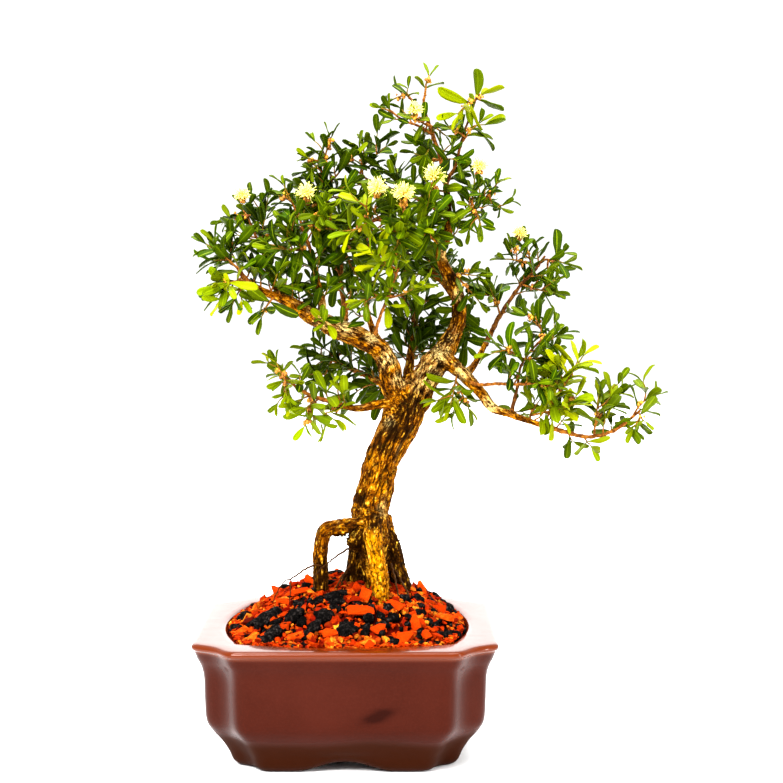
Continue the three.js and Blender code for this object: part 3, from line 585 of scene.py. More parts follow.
def spiralSpots(count, reach, rng):
    number = np.arange(count)
    angle = number * goldenAngle + rng.uniform(-0.05, 0.05, count)
    spots = ringAt(openingReach(reach, angle) * np.sqrt((number + 0.5) / count), angle)
    wander = soil["wander"]
    return spots + np.column_stack([rng.uniform(-wander, wander, count) for _ in range(2)])


def darkPatch(x, y):
    return noise.noise(Vector((x * soil["patchSize"], y * soil["patchSize"], 3.3)))


def layStone(heap, shape, size, matrix, x, y, lift, tone):
    points, faces = shape
    addTo(heap, (points * size) @ matrix.T + (x, y, moundAt(x, y) + lift), [faces], tone=tone)


def chipMaterial():
    material, tree = newMaterial("broken clay")
    red, pale, shade, _ = toneMarks(tree)
    patches, height = grain(tree, *soil["patches"])
    crumbs, crumbHeight = grain(tree, *soil["crumbs"])
    colour = layered(
        soil["orange"], (mathOn("POWER", red, soil["redPower"]), soil["red"]),
        # The third tone makes chips burnt at random; on the bed it is painted shade
        (mathOn("POWER", shade, soil["burntPower"]), soil["burnt"]),
        (times(mathOn("POWER", pale, soil["palePower"]), patches), soil["pale"]),
        (times(crumbs, soil["crumbShare"]), soil["red"]))
    return finish(material, colour, soil["chipShine"], (height, crumbHeight), soil["chipBumps"])


def lumpMaterial():
    material, tree = newMaterial("black pumice")
    _, greyAmount, _, _ = toneMarks(tree)
    pores, height = grain(tree, *soil["pores"])
    facets, _ = grain(tree, *soil["facets"])
    # The second tone sets how much grey grain shows on each lump
    colour = layered(soil["black"], (times(times(pores, facets), greyAmount), soil["grey"]))
    return finish(material, colour, soil["lumpShine"], (height,), soil["lumpBumps"])


def makeMound():
    around = soil["around"]
    angles = np.arange(around) * 2 * math.pi / around
    rings = []
    for z, half in reversed(pot["inside"]):
        ring = openingRing(half - soil["wallGap"], angles)
        height = max(z - plantBase + soil["bedRise"], soil["lowest"])
        rings.append(np.column_stack([ring, np.full(around, height)]))
    rings[0][:, :2] *= soil["bedFoot"]
    for share in np.linspace(*soil["bedShares"], soil["bedRings"]):
        ring = openingRing((pot["opening"] - soil["bedGap"]) * share, angles)
        lumpy = np.array([noise.noise(Vector((*spot, 7))) for spot in ring * soil["bedBumpSize"]])
        height = moundAt(*ring.T) - soil["bedDepth"] + soil["bedBumps"] * lumpy
        rings.append(np.column_stack([ring, height]))
    heap = newHeap()
    # The bed takes the near-black burnt tone: dark red soil under the chips, darkened as painted shade in
    # the gaps
    addTo(heap, np.vstack(rings), cappedRings(len(rings), around), tone=(1, 0, 0.97, 1))
    heapPiece("soil_bed", heap, [clay], "soil_chips", ["soil"])


def makeChips():
    rng = np.random.default_rng(11)
    shapes = [shardShape(rng) for _ in range(soil["shards"])]
    heap = newHeap()
    for x, y in spiralSpots(soil["chips"], pot["opening"] - soil["chipGap"], rng):
        shape = shapes[rng.integers(len(shapes))]
        length = rng.uniform(*soil["chipLength"]) * rng.uniform(0.75, 1)
        if darkPatch(x, y) + 0.4 * noise.noise(Vector((x, y, 1))) > soil["noChipsAbove"]:
            continue
        matrix = onSlope(randomTurn(rng, soil["chipTilt"]), x, y)
        lift = rng.uniform(*soil["chipLift"])
        size = np.array([1, rng.uniform(0.7, 1.25), rng.uniform(0.7, 1.5)]) * length
        layStone(heap, shape, size, matrix, x, y, lift, (*rng.uniform(0, 1, 3), 1))
    fines = spiralSpots(soil["fines"], pot["opening"] - soil["fineGap"], rng)
    angle = rng.uniform(-math.pi, math.pi, soil["edgeFines"])
    reach = openingReach(pot["opening"] - soil["edgeGap"], angle)
    edge = ringAt(reach * rng.uniform(0.93, 1, len(angle)), angle)
    for x, y in np.vstack([fines, edge]):
        shape = shapes[rng.integers(len(shapes))]
        matrix = onSlope(randomTurn(rng, soil["fineTilt"]), x, y)
        lift = rng.uniform(*soil["fineLift"])
        length = rng.uniform(*soil["fineLength"])
        layStone(heap, shape, length, matrix, x, y, lift, (*rng.uniform(0, 1, 3), 1))
    for x, y, length, width, lift, turn, lean in soil["bigChips"]:
        shape = shapes[rng.integers(len(shapes))]
        size = (length, width * 1.5, length * 0.75)
        tone = (0.15, rng.uniform(0.4, 0.9), 0.5, 1)
        layStone(heap, shape, size, tipped(lean) @ turned(turn), x, y, lift, tone)
    heapPiece("clay_chips", heap, [clay], "soil_chips", smooth=False)


def makeLumps():
    rng = np.random.default_rng(23)
    small = [lumpShape(2, rng) for _ in range(soil["smallLumps"])]
    large = [lumpShape(3, rng) for _ in range(soil["largeLumps"])]
    heap = newHeap()
    for x, y in spiralSpots(soil["lumps"], pot["opening"] - soil["lumpGap"], rng):
        if darkPatch(x, y) < soil["noLumpsBelow"]:
            continue
        shape = small[rng.integers(len(small))]
        size = rng.uniform(*soil["lumpSize"]) * np.array([1, rng.uniform(0.7, 1), rng.uniform(0.6, 0.9)])
        matrix = onSlope(randomTurn(rng, soil["lumpTilt"]), x, y)
        lift = rng.uniform(*soil["lumpLift"])
        layStone(heap, shape, size, matrix, x, y, lift, (rng.uniform(0, 1), rng.uniform(0.1, 1), 0, 1))
    for x, y, length, width, turn in soil["bigLumps"]:
        shape = large[rng.integers(len(large))]
        size = (length, width, 0.78 * width)
        tone = (rng.uniform(0, 1), rng.uniform(0.5, 1), 0, 1)
        layStone(heap, shape, size, onSlope(turned(turn), x, y), x, y, 0.3 * width, tone)
    heapPiece("black_lumps", heap, [lumpMaterial()], "soil_chips")


clay = chipMaterial()
makeMound()
makeChips()
makeLumps()
print("soil made")

# Wood: the paths of every limb, each point with its radius

wood = {
    "trunk": [(21, -4, 64, 15), (21, -4, 84, 17), (20, -3, 99, 16.6), (17, -1, 119, 14.8),
        (15, 0, 138, 13), (15, 0, 154, 12.4), (19, 0, 170, 12.1), (23, 0, 185, 11.5),
        (29, 0, 198, 11.8), (35, 0, 210, 13), (38, 0, 222, 14), (41, 1, 230, 12)],
    "leftLimb": [(35, -1, 220, 8.4), (29, -3, 233, 7.7), (26, -6, 246, 6.8), (20, -9, 256, 6.4),
        (9, -14, 263, 6.6), (-4, -19, 268, 6.5), (-18, -24, 275, 5.6), (-29, -28, 282, 4.6),
        (-40, -31, 288, 3.4), (-52, -33, 293, 2.6), (-62, -34, 300, 2.1), (-67, -34, 308, 1.7)],
    "leader": [(42, 0, 220, 10.2), (49, 2, 234, 9.6), (57, 4, 246, 8.6), (65, 7, 258, 6.4),
        (71, 9, 271, 4.9), (72, 9, 283, 4.5), (69, 7, 295, 4.5), (60, 0, 314, 3.6), (65, -2, 331, 3),
        (64, 0, 353, 2.4), (61, 2, 372, 2.1), (53, 3, 396, 1.6), (49, 0, 409, 1.3), (50, 0, 418, 1)],
    "rightBranch": [(58, 4, 253, 5.8), (67, 0, 245, 5.1), (76, -4, 237, 4.1), (86, -8, 227, 3.6),
        (93, -10, 218, 3.4), (104, -12, 214, 2.9), (122, -15, 208, 2.3), (139, -16, 203, 1.9),
        (154, -16, 200, 1.6), (170, -15, 204, 1.5), (187, -9, 216, 1.1)],
    "rightRiser": [(74, -4, 237, 3.2), (82, 3, 245, 2.7), (91, 12, 261, 2.2), (99, 16, 276, 1.9),
        (112, 20, 295, 1.5), (120, 20, 303, 1.3), (128, 20, 314, 1)],
    "lowLeft": [(33, -4, 220, 4.5), (20, -10, 220, 3.2), (6, -16, 218, 2.6), (-7, -20, 222, 2),
        (-20, -23, 226, 1.7), (-31, -25, 232, 1.3), (-39, -26, 239, 1)],
    "backLeft": [(31, 4, 227, 4.5), (21, 10, 233, 3.2), (9, 20, 238, 2.3), (-2, 30, 242, 1.7),
        (-13, 38, 247, 1.2)],
    "backMiddle": [(38, 8, 227, 5.2), (40, 24, 241, 3.6), (42, 38, 256, 2.6), (43, 48, 270, 1.9),
        (41, 54, 285, 1.3)],
    "backUpper": [(71, 12, 285, 3.2), (64, 30, 295, 2.6), (54, 44, 304, 2), (42, 54, 310, 1.5),
        (29, 60, 317, 1.1)],
    "middleRiser": [(22, -6, 257, 3.2), (16, 8, 268, 2.6), (12, 20, 283, 2.1), (12, 30, 299, 1.7),
        (14, 36, 315, 1.4), (12, 38, 333, 1)],
    "leftRiser": [(-15, -24, 273, 3.1), (-15, -24, 284, 2.9), (-17, -22, 294, 2.6),
        (-20, -17, 307, 2.1), (-23, -11, 319, 1.6), (-28, -6, 332, 1.2), (-31, -4, 342, 0.9)],
    "innerRiser": [(-1, -16, 268, 2.5), (-1, -9, 279, 2.2), (-4, 4, 297, 1.8), (-4, 12, 313, 1.4),
        (-11, 20, 341, 1.2), (-15, 20, 356, 1), (-14, 18, 371, 0.9)],
    "outerRiser": [(-39, -30, 286, 2.5), (-45, -24, 296, 2), (-50, -16, 307, 1.7), (-53, -10, 317, 1.4),
        (-58, -6, 328, 1.1), (-63, -4, 340, 0.9)],
    "crownFront": [(62, -2, 321, 2.9), (53, -14, 327, 2.3), (41, -24, 331, 1.8), (30, -32, 334, 1.4),
        (18, -38, 337, 1)],
    "crownLeft": [(66, -2, 336, 2.6), (57, 10, 345, 2.1), (44, 22, 352, 1.7), (31, 30, 357, 1.4),
        (18, 34, 361, 1.1), (7, 36, 369, 0.9)],
    "crownRight": [(66, -2, 335, 2.2), (74, -8, 341, 1.7), (82, -12, 346, 1.3), (89, -14, 352, 1)],
    "frontTwig": [(17, -12, 261, 1.9), (20, -18, 273, 1.4), (25, -24, 286, 1.2), (29, -28, 296, 1.1),
        (33, -30, 307, 0.9)],
    "lowTwig": [(105, -13, 216, 1.9), (108, -16, 231, 1.3), (110, -17, 244, 1.1), (116, -16, 254, 1),
        (123, -14, 261, 0.9)],
    "sideTwig": [(75, -3, 236, 2.2), (83, -12, 233, 1.5), (97, -20, 234, 1.3), (110, -26, 234, 1.1),
        (121, -30, 236, 0.9)],
    "apexRight": [(63, 1, 361, 1.9), (69, -2, 371, 1.3), (72, -4, 383, 1.1), (75, -5, 394, 1),
        (79, -5, 405, 0.9), (82, -5, 414, 0.8)],
    "apexLeft": [(54, 3, 392, 1.5), (45, 0, 397, 1.1), (36, -2, 400, 0.9), (29, -4, 405, 0.8)],
    "apexTip": [(48, 0, 408, 1.3), (42, 4, 413, 1), (38, 6, 418, 0.8)],
    "archRoot": [(16, -4, 143.4, 5.7), (4, -8, 143.6, 5.1), (-6, -12, 142.4, 4.5), (-13, -13, 140.6, 4.3),
        (-16, -13, 135, 4.1), (-17, -12, 124, 4.2), (-17, -10, 110, 4.8), (-17, -8, 88, 4.2)],
    "frontRoot": [(17, -7, 150, 5), (17, -13, 136, 5.8), (19, -17, 121, 5.8), (21, -19, 109, 6),
        (22, -21, 94, 5.8), (22, -22, 78, 4.6)],
    "leftRoot": [(11, 2, 144, 6.4), (7, 4, 128, 6.6), (5, 3, 111, 6.8), (3, 2, 84, 5.6)],
    "rightRoot": [(23, 4, 147, 6.2), (25.6, 6, 131, 6.8), (31, 8, 114, 7.1), (40, 8, 84, 6)],
    "rootBurl": [(12, -4, 141, 5), (8, -7, 136, 5.2), (6, -7, 131, 4.2), (6, -6, 126, 3)],
    "backRoot": [(17, 10, 143, 6.5), (16, 18, 122, 7), (14, 24, 104, 7.2), (13, 28, 84, 5.6)],
}

bark = {
    "voxel": 0.72, "thinnest": 1.6, "fissureDepth": 1.2, "plateWidth": 3.4, "plateStretch": 3.6,
    "knots": [
        (11, -20.5, 262, 2.9), (60, -4.5, 244, 2.6), (27, 3, 207, 2.2), (3, -8, 153, 2.4),
        (30, -12, 186, 2),
    ],
    "paleSpots": [
        # x, y, z, radius
        (59, -6, 254, 8.5), (53, -9, 238, 9.5), (27, -10, 208, 4), (26, -10, 151, 4.6), (33, -8, 236, 5),
        (26, -12, 250, 6), (0, -22, 270, 8.5), (-14, -26, 277, 8), (16, -17, 263, 5), (68, -2, 262, 5),
        (74, -6, 240, 5), (92, -12, 220, 6), (71, 2, 290, 5), (64, -4, 316, 5), (36, -12, 190, 4),
    ],
    # Golden spots: partly the bark's own colour, partly painted highlight
    "brightSpots": [
        (14, -20, 132, 6), (16, -23, 122, 7), (18, -26, 112, 7), (19, -27, 103, 5), (24, -14, 166, 4),
        (36, -11, 190, 3.4), (34, -12, 184, 3.2), (12, -10, 186, 4), (18, -10, 204, 3),
    ],
    # Darker bark: partly its own dark patches, partly painted shade at the crotch and on the sides of the
    # roots
    "darkSpots": [
        (-17, -12, 104, 10), (-17, -13, 115, 7), (4, -12, 131, 6), (8, -2, 124, 10), (0, 0, 104, 12),
        (-2, -10, 132, 8), (34, 0, 134, 8), (38, 2, 112, 11), (42, 4, 94, 12), (32, -12, 204, 8),
        (42, -13, 220, 8), (36, -13, 213, 7), (26, -13, 192, 4), (8, -8, 160, 5), (20, -14, 146, 6),
        (7, -8, 132, 12), (2, -4, 112, 14), (36, 0, 122, 13), (38, 4, 100, 14), (-17, -10, 92, 13),
        (-16, -12, 112, 7), (24, -26, 84, 8), (29, -2, 232, 6), (20, -2, 246, 7), (62, 2, 262, 5),
        (66, 6, 276, 6), (70, 2, 300, 5), (12, 20, 118, 18), (97, 15, 273, 7), (104, 18, 284, 8),
        (113, 20, 296, 8), (107, -15, 224, 6), (109, -17, 237, 8),
    ],
    "burls": [
        # x, y, z, radius, height
        (-1, -12, 136, 8, 3), (-4, -10, 129, 6, 2.4), (32, -6, 146, 6, 2), (26, -10, 172, 5, 1.4),
        (13, -15, 152, 6, 1.2), (22, -14, 194, 7, 1.6), (40, -6, 222, 6, 1.4), (36, 2, 128, 6, 2),
    ],
    "golden": (0.49, 0.18, 0.0008), "amber": (0.1, 0.027, 0.0004), "straw": (0.84, 0.5, 0.05),
    "gilded": (0.78, 0.31, 0.001),
    "cream": (0.96, 0.76, 0.3), "darkBarkAndShade": (0.012, 0.0032, 0.0003), "fissure": (0.006, 0.0014, 0.0002),
    "young": (0.06, 0.013, 0.0016), "tan": (0.28, 0.105, 0.014),
    "maroonTwigs": ("rightRiser", "lowTwig", "apexRight", "outerRiser"),
    "patches": (170, 0.36, 0.64), "flecks": (1100, 0.4, 0.62, 0.7), "fibreStretch": (0.6, 0.6, 0.2),
    "plateCells": (0.3, 0.3, 0.11), "streaks": (0.4, 0.58), "ridges": (0.55, 0.66), "cracksBelow": 0.405,
    "fibreDetail": 6.0, "fibreRoughness": 0.65, "fleckShare": 0.5, "leanSlope": -4.0, "leanStart": 2.0,
    "shadowFloor": 0.3, "shadowGain": 1.8, "shadowCore": 3.0, "gapFleck": 0.1, "gapShift": -0.05,
    "brightShare": 0.75, "ridgeShare": 0.8, "gapShare": 0.8, "lineShare": 0.68, "crackShare": 0.95,
    "darkShare": 0.88, "gapSharpness": 14.0, "paleTwigs": 0.5, "buriedShare": 0.9, "twigGreen": 0.6,
    "jointSwell": 0.22, "shakenSwell": 0.06, "shake": 0.12, "twigAround": 9, "twigStep": 1.6,
    "overlap": 0.25, "knotRim": 0.42, "knotDepth": 0.9, "knotReach": 1.35,
    "crackWander": 0.5, "wanderSize": 0.7, "wideCracks": 0.8, "narrowCracks": 1.7, "crackEdge": (0.02, 0.2),
    "plateSize": 0.5, "roughSize": 3.1, "plateHeight": 0.8, "roughHeight": 0.4, "crackDepth": 0.9,
    "lumpSize": 0.085, "lumpHeight": 0.14, "thickRadius": 11, "limbsFrom": 225,
    # paleTop makes upward faces of stout wood paler: painted highlight
    "paleGain": 1.1, "palePlates": 0.35, "paleTop": 0.2, "paleTopFrom": 2.4, "paleFloor": 0.12,
    # darkTop makes the undersides of limbs darker than their tops: painted shade
    "darkGain": 1.25, "darkTop": 0.3, "darkRough": 0.3, "darkTone": 1.3, "brightTone": 1.5,
    "knotDark": 1.2,
    "thinZone": (1.2, 4.5), "thinShare": 0.72, "thickShare": 0.28,
    "footZone": (110, 142), "footShare": 0.38, "waistZone": (158, 176), "waistShare": 0.07,
    "coreShare": 0.55, "rootShare": 0.9, "archZone": (-13, 0), "archShare": 1.12, "archTaper": 0.34,
    "stoutSides": 28, "thinSides": 16, "stoutRadius": 6, "easing": 0.5, "easings": 3,
    "shine": {"Roughness": 0.72, "Specular IOR Level": 0.08, "Specular Tint": (1, 0.7, 0.2)},
    "bumps": ((0.5, 0.002), (0.8, 0.0022), (0.5, 0.0008)),
    "twigGrain": (500, 0.38, 0.64), "twigBumps": ((0.5, 0.0008),), "green": (0.1, 0.11, 0.006),
    "twigShine": {"Roughness": 0.6, "Specular IOR Level": 0.15, "Specular Tint": (1, 0.75, 0.4)},
}


# Which stretch of wood each point belongs to, and where it is round and along it
def woodPlaces(points):
    spots, radii, frames, lengths = [], [], [], []
    for number, path in enumerate(wood.values()):
        centres, widths = limbSamples(path, 1.2)
        steps = np.linalg.norm(np.diff(centres, axis=0), axis=1)
        spots.extend(centres)
        radii.extend(widths)
        frames.extend(np.stack(framesAlong(centres)[1:], 1))
        lengths.extend(np.append(0, np.cumsum(steps)) + 61.7 * number)
    lookup = kdtree.KDTree(len(spots))
    for index, spot in enumerate(spots):
        lookup.insert(spot, index)
    lookup.balance()
    owner = []
    for point in points:
        nearest = lookup.find_n(point, 9)
        owner.append(min((distance - radii[k], k) for _, k, distance in nearest)[1])
    flat = np.einsum("nij,nj->ni", np.array(frames)[owner], points - np.array(spots)[owner])
    return np.column_stack([flat, np.array(lengths)[owner]]), np.array(radii)[owner]


def spotsNear(points, spots):
    return np.max([nearness(points, spot[:3], spot[3]) for spot in spots], axis=0)


# Long narrow cracks lie where a stretched noise passes through zero
def crackNoise(places, width):
    cells = places / np.stack([width, width, width * bark["plateStretch"]], 1)
    cracks, plates, rough = np.empty((3, len(places)))
    for index, spot in enumerate(map(Vector, cells)):
        spot += bark["crackWander"] * noise.noise_vector(spot * bark["wanderSize"])
        wide = abs(noise.noise(spot * bark["wideCracks"]))
        narrow = abs(noise.noise(spot * bark["narrowCracks"] + Vector((31, 7, 5))))
        cracks[index] = min(wide * 1.1, narrow * 1.9 + 0.05)
        plates[index] = noise.noise(spot * bark["plateSize"] + Vector((9, 4, 2)))
        rough[index] = noise.noise(spot * bark["roughSize"])
    return 1 - smoothStep(*bark["crackEdge"], cracks), plates, rough


def barkSurface(points, normals):
    places, radii = woodPlaces(points)
    size = np.clip(radii / bark["thickRadius"], 0, 1.15)
    crack, plates, rough = crackNoise(places, bark["plateWidth"] * np.clip(size, 0.4, 1.1))
    depth = bark["fissureDepth"] * np.clip(size, 0.16, 1)
    relief = bark["plateHeight"] * plates + bark["roughHeight"] * rough - bark["crackDepth"] * crack
    lumps = np.array([noise.noise(Vector(point) * bark["lumpSize"]) for point in points])
    push = depth * relief + lumps * bark["lumpHeight"] * radii
    for *place, radius, height in bark["burls"]:
        push += height * nearness(points, place, radius) * (1 + rough)
    for *place, radius in bark["knots"]:
        fromRim = np.linalg.norm(points - place, axis=1) - bark["knotReach"] * radius
        push += bark["knotRim"] * radius * np.exp(-(fromRim / (0.5 * radius)) ** 2)
        push -= bark["knotDepth"] * radius * nearness(points, place, radius)
    up = normals[:, 2]
    # Bright: golden spots, partly the bark's own colour and partly painted highlight
    bright = spotsNear(points, bark["brightSpots"])
    onStout, onLimb = radii > bark["paleTopFrom"], points[:, 2] > bark["limbsFrom"]
    # Pale: the bark's own pale patches, plus painted highlight on the upward faces of stout wood
    pale = spotsNear(points, bark["paleSpots"]) * bark["paleGain"] + bark["palePlates"] * plates
    pale = pale + bark["paleTop"] * up * onStout - bark["paleFloor"]
    # Dark: the bark's own dark patches and painted shade; through darkTop the undersides of limbs are
    # painted darker than their tops
    dark = bark["darkGain"] * spotsNear(points, bark["darkSpots"])
    dark = dark - bark["darkTop"] * up * onLimb + bark["darkRough"] * rough
    dark = bark["darkTone"] * dark - bark["brightTone"] * bright
    crack = crack * np.clip(0.35 + size, 0, 1) + bark["knotDark"] * spotsNear(points, bark["knots"])
    tones = np.clip(np.stack([crack, pale, dark, bright], 1), 0, 1)
    return points + normals * push[:, None], tones, places


def barkMaterial():
    material, tree = newMaterial("flaking bark")
    crack, pale, dark, bright = toneMarks(tree)
    patches, height = grain(tree, *bark["patches"])
    flecks, fine = grain(tree, *bark["flecks"])
    along = addNode(tree, "ShaderNodeAttribute", attribute_name="barkPlace").outputs["Vector"]
    stretched = addNode(tree, "ShaderNodeMapping", Vector=along, Scale=bark["fibreStretch"]).outputs[0]
    fibre = addNode(tree, "ShaderNodeTexNoise", Vector=stretched, Scale=1.0, Detail=bark["fibreDetail"],
                    Roughness=bark["fibreRoughness"]).outputs["Fac"]
    streaks = between(fibre, *bark["streaks"])
    # Straw on the ridges of the fibre bump is painted highlight on their tops
    ridges = between(fibre, *bark["ridges"])
    flecked = mathOn("MULTIPLY_ADD", flecks, bark["fleckShare"], 1 - bark["fleckShare"])
    # The cream over the pale mask is partly painted highlight on upward faces
    palePart = times(pale, flecked, clamp=True)
    # The dark mask lays the darkest brown: partly the bark's own colour, partly painted shade
    leaning = mathOn("ADD", dark, mathOn("MULTIPLY_ADD", fibre, bark["leanSlope"], bark["leanStart"]))
    broken = times(mathOn("SUBTRACT", leaning, bark["shadowFloor"]), bark["shadowGain"], clamp=True)
    darkPart = times(broken, times(dark, bark["shadowCore"], clamp=True))
    blocks = addNode(tree, "ShaderNodeMapping", Vector=along, Scale=bark["plateCells"]).outputs[0]
    plates = addNode(tree, "ShaderNodeTexVoronoi", feature="DISTANCE_TO_EDGE", Vector=blocks, Scale=1.0)
    uneven = mathOn("MULTIPLY_ADD", flecks, bark["gapFleck"], bark["gapShift"])
    gaps = mathOn("ADD", plates.outputs["Distance"], uneven)
    gaps = mathOn("SUBTRACT", 1.0, times(gaps, bark["gapSharpness"], clamp=True))
    lines = mathOn("LESS_THAN", fibre, bark["cracksBelow"])
    colour = layered(
        bark["amber"], (patches, bark["golden"]), (mathOn("SUBTRACT", 1.0, streaks), bark["amber"]),
        (times(bright, bark["brightShare"]), bark["gilded"]),
        (times(ridges, bark["ridgeShare"]), bark["straw"]), (times(palePart, streaks), bark["cream"]),
        (times(darkPart, bark["darkShare"]), bark["darkBarkAndShade"]),
        (times(gaps, bark["gapShare"]), bark["fissure"]),
        (times(lines, bark["lineShare"]), bark["fissure"]),
        (times(crack, bark["crackShare"]), bark["fissure"]))
    return finish(material, colour, bark["shine"], (height, fibre, fine), bark["bumps"])


def twigMaterial():
    material, tree = newMaterial("young twigs")
    green, pale, buried, _ = toneMarks(tree)
    patches, height = grain(tree, *bark["twigGrain"])
    colour = layered(bark["young"], (patches, bark["tan"]), (times(pale, bark["paleTwigs"]), bark["tan"]),
                     (green, bark["green"]), (times(buried, bark["buriedShare"]), bark["darkBarkAndShade"]))
    return finish(material, colour, bark["twigShine"], (height,), bark["twigBumps"])


twigBark = twigMaterial()


# Thin wood is slimmer than its solid, and the foot of the trunk gives way to the roots around it
def slimmed(name, path, step):
    centres, radii = limbSamples(path, step)
    x, _, z = centres.T
    slim = radii * (bark["thinShare"] + bark["thickShare"] * smoothStep(*bark["thinZone"], radii))
    if name == "trunk":
        share = bark["coreShare"] + bark["footShare"] * smoothStep(*bark["footZone"], z)
        slim *= share + bark["waistShare"] * smoothStep(*bark["waistZone"], z)
    if name in ("leftRoot", "rightRoot", "backRoot"):
        slim *= bark["rootShare"]
    if name == "archRoot":
        slim *= bark["archShare"] - bark["archTaper"] * smoothStep(*bark["archZone"], x)
    return centres, slim


# All thick wood joined into one skin, with three easing steps over it
def woodSkin():
    heap = newHeap()
    for name, path in wood.items():
        centres, radii = slimmed(name, path, 1.0)
        last = np.count_nonzero(radii >= bark["thinnest"])
        if last > 5:
            stout = radii.max() > bark["stoutRadius"]
            sides = bark["stoutSides"] if stout else bark["thinSides"]
            addTo(heap, *tube(centres[:last], radii[:last], sides))
    raw = bpy.data.objects.new("raw_wood", meshFrom("raw_wood", heap, np.asarray))
    scene.collection.objects.link(raw)
    joined = raw.modifiers.new("joined", "REMESH")
    joined.mode = "VOXEL"
    joined.voxel_size = bark["voxel"]
    eased = raw.modifiers.new("eased", "SMOOTH")
    eased.factor = bark["easing"]
    eased.iterations = bark["easings"]
    mesh = bpy.data.meshes.new_from_object(raw.evaluated_get(bpy.context.evaluated_depsgraph_get()))
    bpy.data.objects.remove(raw)
    return mesh


def makeTree():
    mesh = woodSkin()
    points, normals = np.empty((2, len(mesh.vertices) * 3))
    mesh.vertices.foreach_get("co", points)
    mesh.vertex_normals.foreach_get("vector", normals)
    points, tones, places = barkSurface(points.reshape(-1, 3), normals.reshape(-1, 3))
    mesh.vertices.foreach_set("co", toFrame(points).ravel())
    markPoints(mesh, "tone", "FLOAT_COLOR", "color", tones)
    markPoints(mesh, "barkPlace", "FLOAT_VECTOR", "vector", places)
    mesh.update()
    print("bark points", len(points))
    addPiece("tree_wood", mesh, [barkMaterial()], "bark", ["tree"])


# Thin ends of the limbs, with their joints a little swollen
def makeTwigs():
    rng = np.random.default_rng(5)
    heap = newHeap()
    for name, path in wood.items():
        centres, radii = slimmed(name, path, bark["twigStep"])
        thin = np.nonzero(radii < bark["thinnest"] + bark["overlap"])[0]
        if len(thin) < 3:
            continue
        first = thin[0]
        count = len(centres) - first
        shaken = rng.uniform(-bark["shakenSwell"], bark["shakenSwell"], count)
        swell = 1 + bark["jointSwell"] * (np.arange(count) % 4 == 0) + shaken
        wander = rng.normal(0, bark["shake"], (count, 3))
        points, faces = tube(centres[first:] + wander, radii[first:] * swell, bark["twigAround"])
        share = np.repeat(np.linspace(1, 0, count + 1), bark["twigAround"])
        maroon = 0.6 * (name in bark["maroonTwigs"])
        tone = np.stack([0 * share, share * bark["twigGreen"] * (1 - maroon), 0 * share + maroon, share], 1)
        addTo(heap, points, faces, tone=tone)
    heapPiece("tree_twigs", heap, [twigBark], "bark", ["tree"])


makeTree()
makeTwigs()
print("wood made")

# Leaves: one blade with its outline, rib and arch, in several forms

leaf = {
    "rows": (0, 0.1, 0.27, 0.47, 0.66, 0.83, 0.95, 1.0),
    "halfWidths": (0.1, 0.24, 0.62, 0.9, 1.0, 0.94, 0.68, 0.16),
    "columns": (-1, -0.55, 0, 0.55, 1),
    "length": (13.5, 20.5), "widthShare": 0.164, "highest": 438, "thickness": 0.42, "pairStep": 5.2,
    "forms": 11,
    "deep": (0.0014, 0.005, 0.0001), "green": (0.033, 0.073, 0.0001), "bright": (0.12, 0.17, 0.0003),
    "yellow": (0.29, 0.29, 0.0006), "rib": (0.19, 0.25, 0.004), "under": (0.028, 0.05, 0.0006),
    "patches": (220, 0.3, 0.7), "grain": (1300, 0.35, 0.65), "patchShare": 0.38, "ribNarrowness": 12.0,
    "ribShare": 0.8, "underShare": 0.55, "roughness": 0.36, "roughGrain": 0.14, "bumps": ((0.3, 0.0008),),
    "shine": {"Specular IOR Level": 0.1, "Specular Tint": (0.8, 1, 0.1)}, "ribDepth": 0.014,
    "arch": (0.08, 0.4), "fold": (0.05, 0.32), "twist": (-0.45, 0.45), "sway": (-0.05, 0.05),
    "wave": (-0.03, 0.03), "notch": (0, 0.035), "broad": (0.88, 1.14),
    "archBack": 0.35, "waves": 9, "notchWidth": 0.3, "notchFrom": 0.9, "curl": 0.3, "ribWidth": 0.2,
    "ribFrom": 0.05, "shadePower": 1.3,
}


def leafForm(rng):
    v, u = np.meshgrid(leaf["rows"], leaf["columns"], indexing="ij")
    traits = ("arch", "fold", "twist", "sway", "wave", "notch", "broad")
    arch, fold, twist, sway, wave, notch, broad = (rng.uniform(*leaf[trait]) for trait in traits)
    half = np.array(leaf["halfWidths"])[:, None] * leaf["widthShare"] * broad
    x = u * half + sway * np.sin(v * math.pi)
    y = v - notch * np.exp(-(u / leaf["notchWidth"]) ** 2) * smoothStep(leaf["notchFrom"], 1, v)
    z = -arch * v ** 2 + leaf["archBack"] * arch * v
    z = z + fold * np.abs(u) * half + wave * np.sin(v * leaf["waves"]) * np.abs(u)
    turn = twist * v
    x, z = x * np.cos(turn) - z * np.sin(turn) * leaf["curl"], z + x * np.sin(turn)
    z = z - leaf["ribDepth"] * (np.abs(u) < leaf["ribWidth"]) * (v > leaf["ribFrom"])
    return np.stack([x, y, z], -1).reshape(-1, 3), (u.ravel() + 1) / 2


def leafFaces():
    rows, columns = len(leaf["rows"]), len(leaf["columns"])
    number = np.arange(rows * columns).reshape(rows, columns)
    top = np.stack([number[:-1, :-1], number[:-1, 1:], number[1:, 1:], number[1:, :-1]], -1).reshape(-1, 4)
    edge = np.concatenate([number[0, :], number[1:, -1], number[-1, -2::-1], number[-2:0:-1, 0]])
    following = np.roll(edge, -1)
    below = rows * columns
    rim = np.stack([edge, edge + below, following + below, following], -1)
    return np.vstack([top, top[:, ::-1] + below, rim])


leafRng = np.random.default_rng(77)
leafForms = [leafForm(leafRng) for _ in range(leaf["forms"])]
leafQuads = leafFaces()


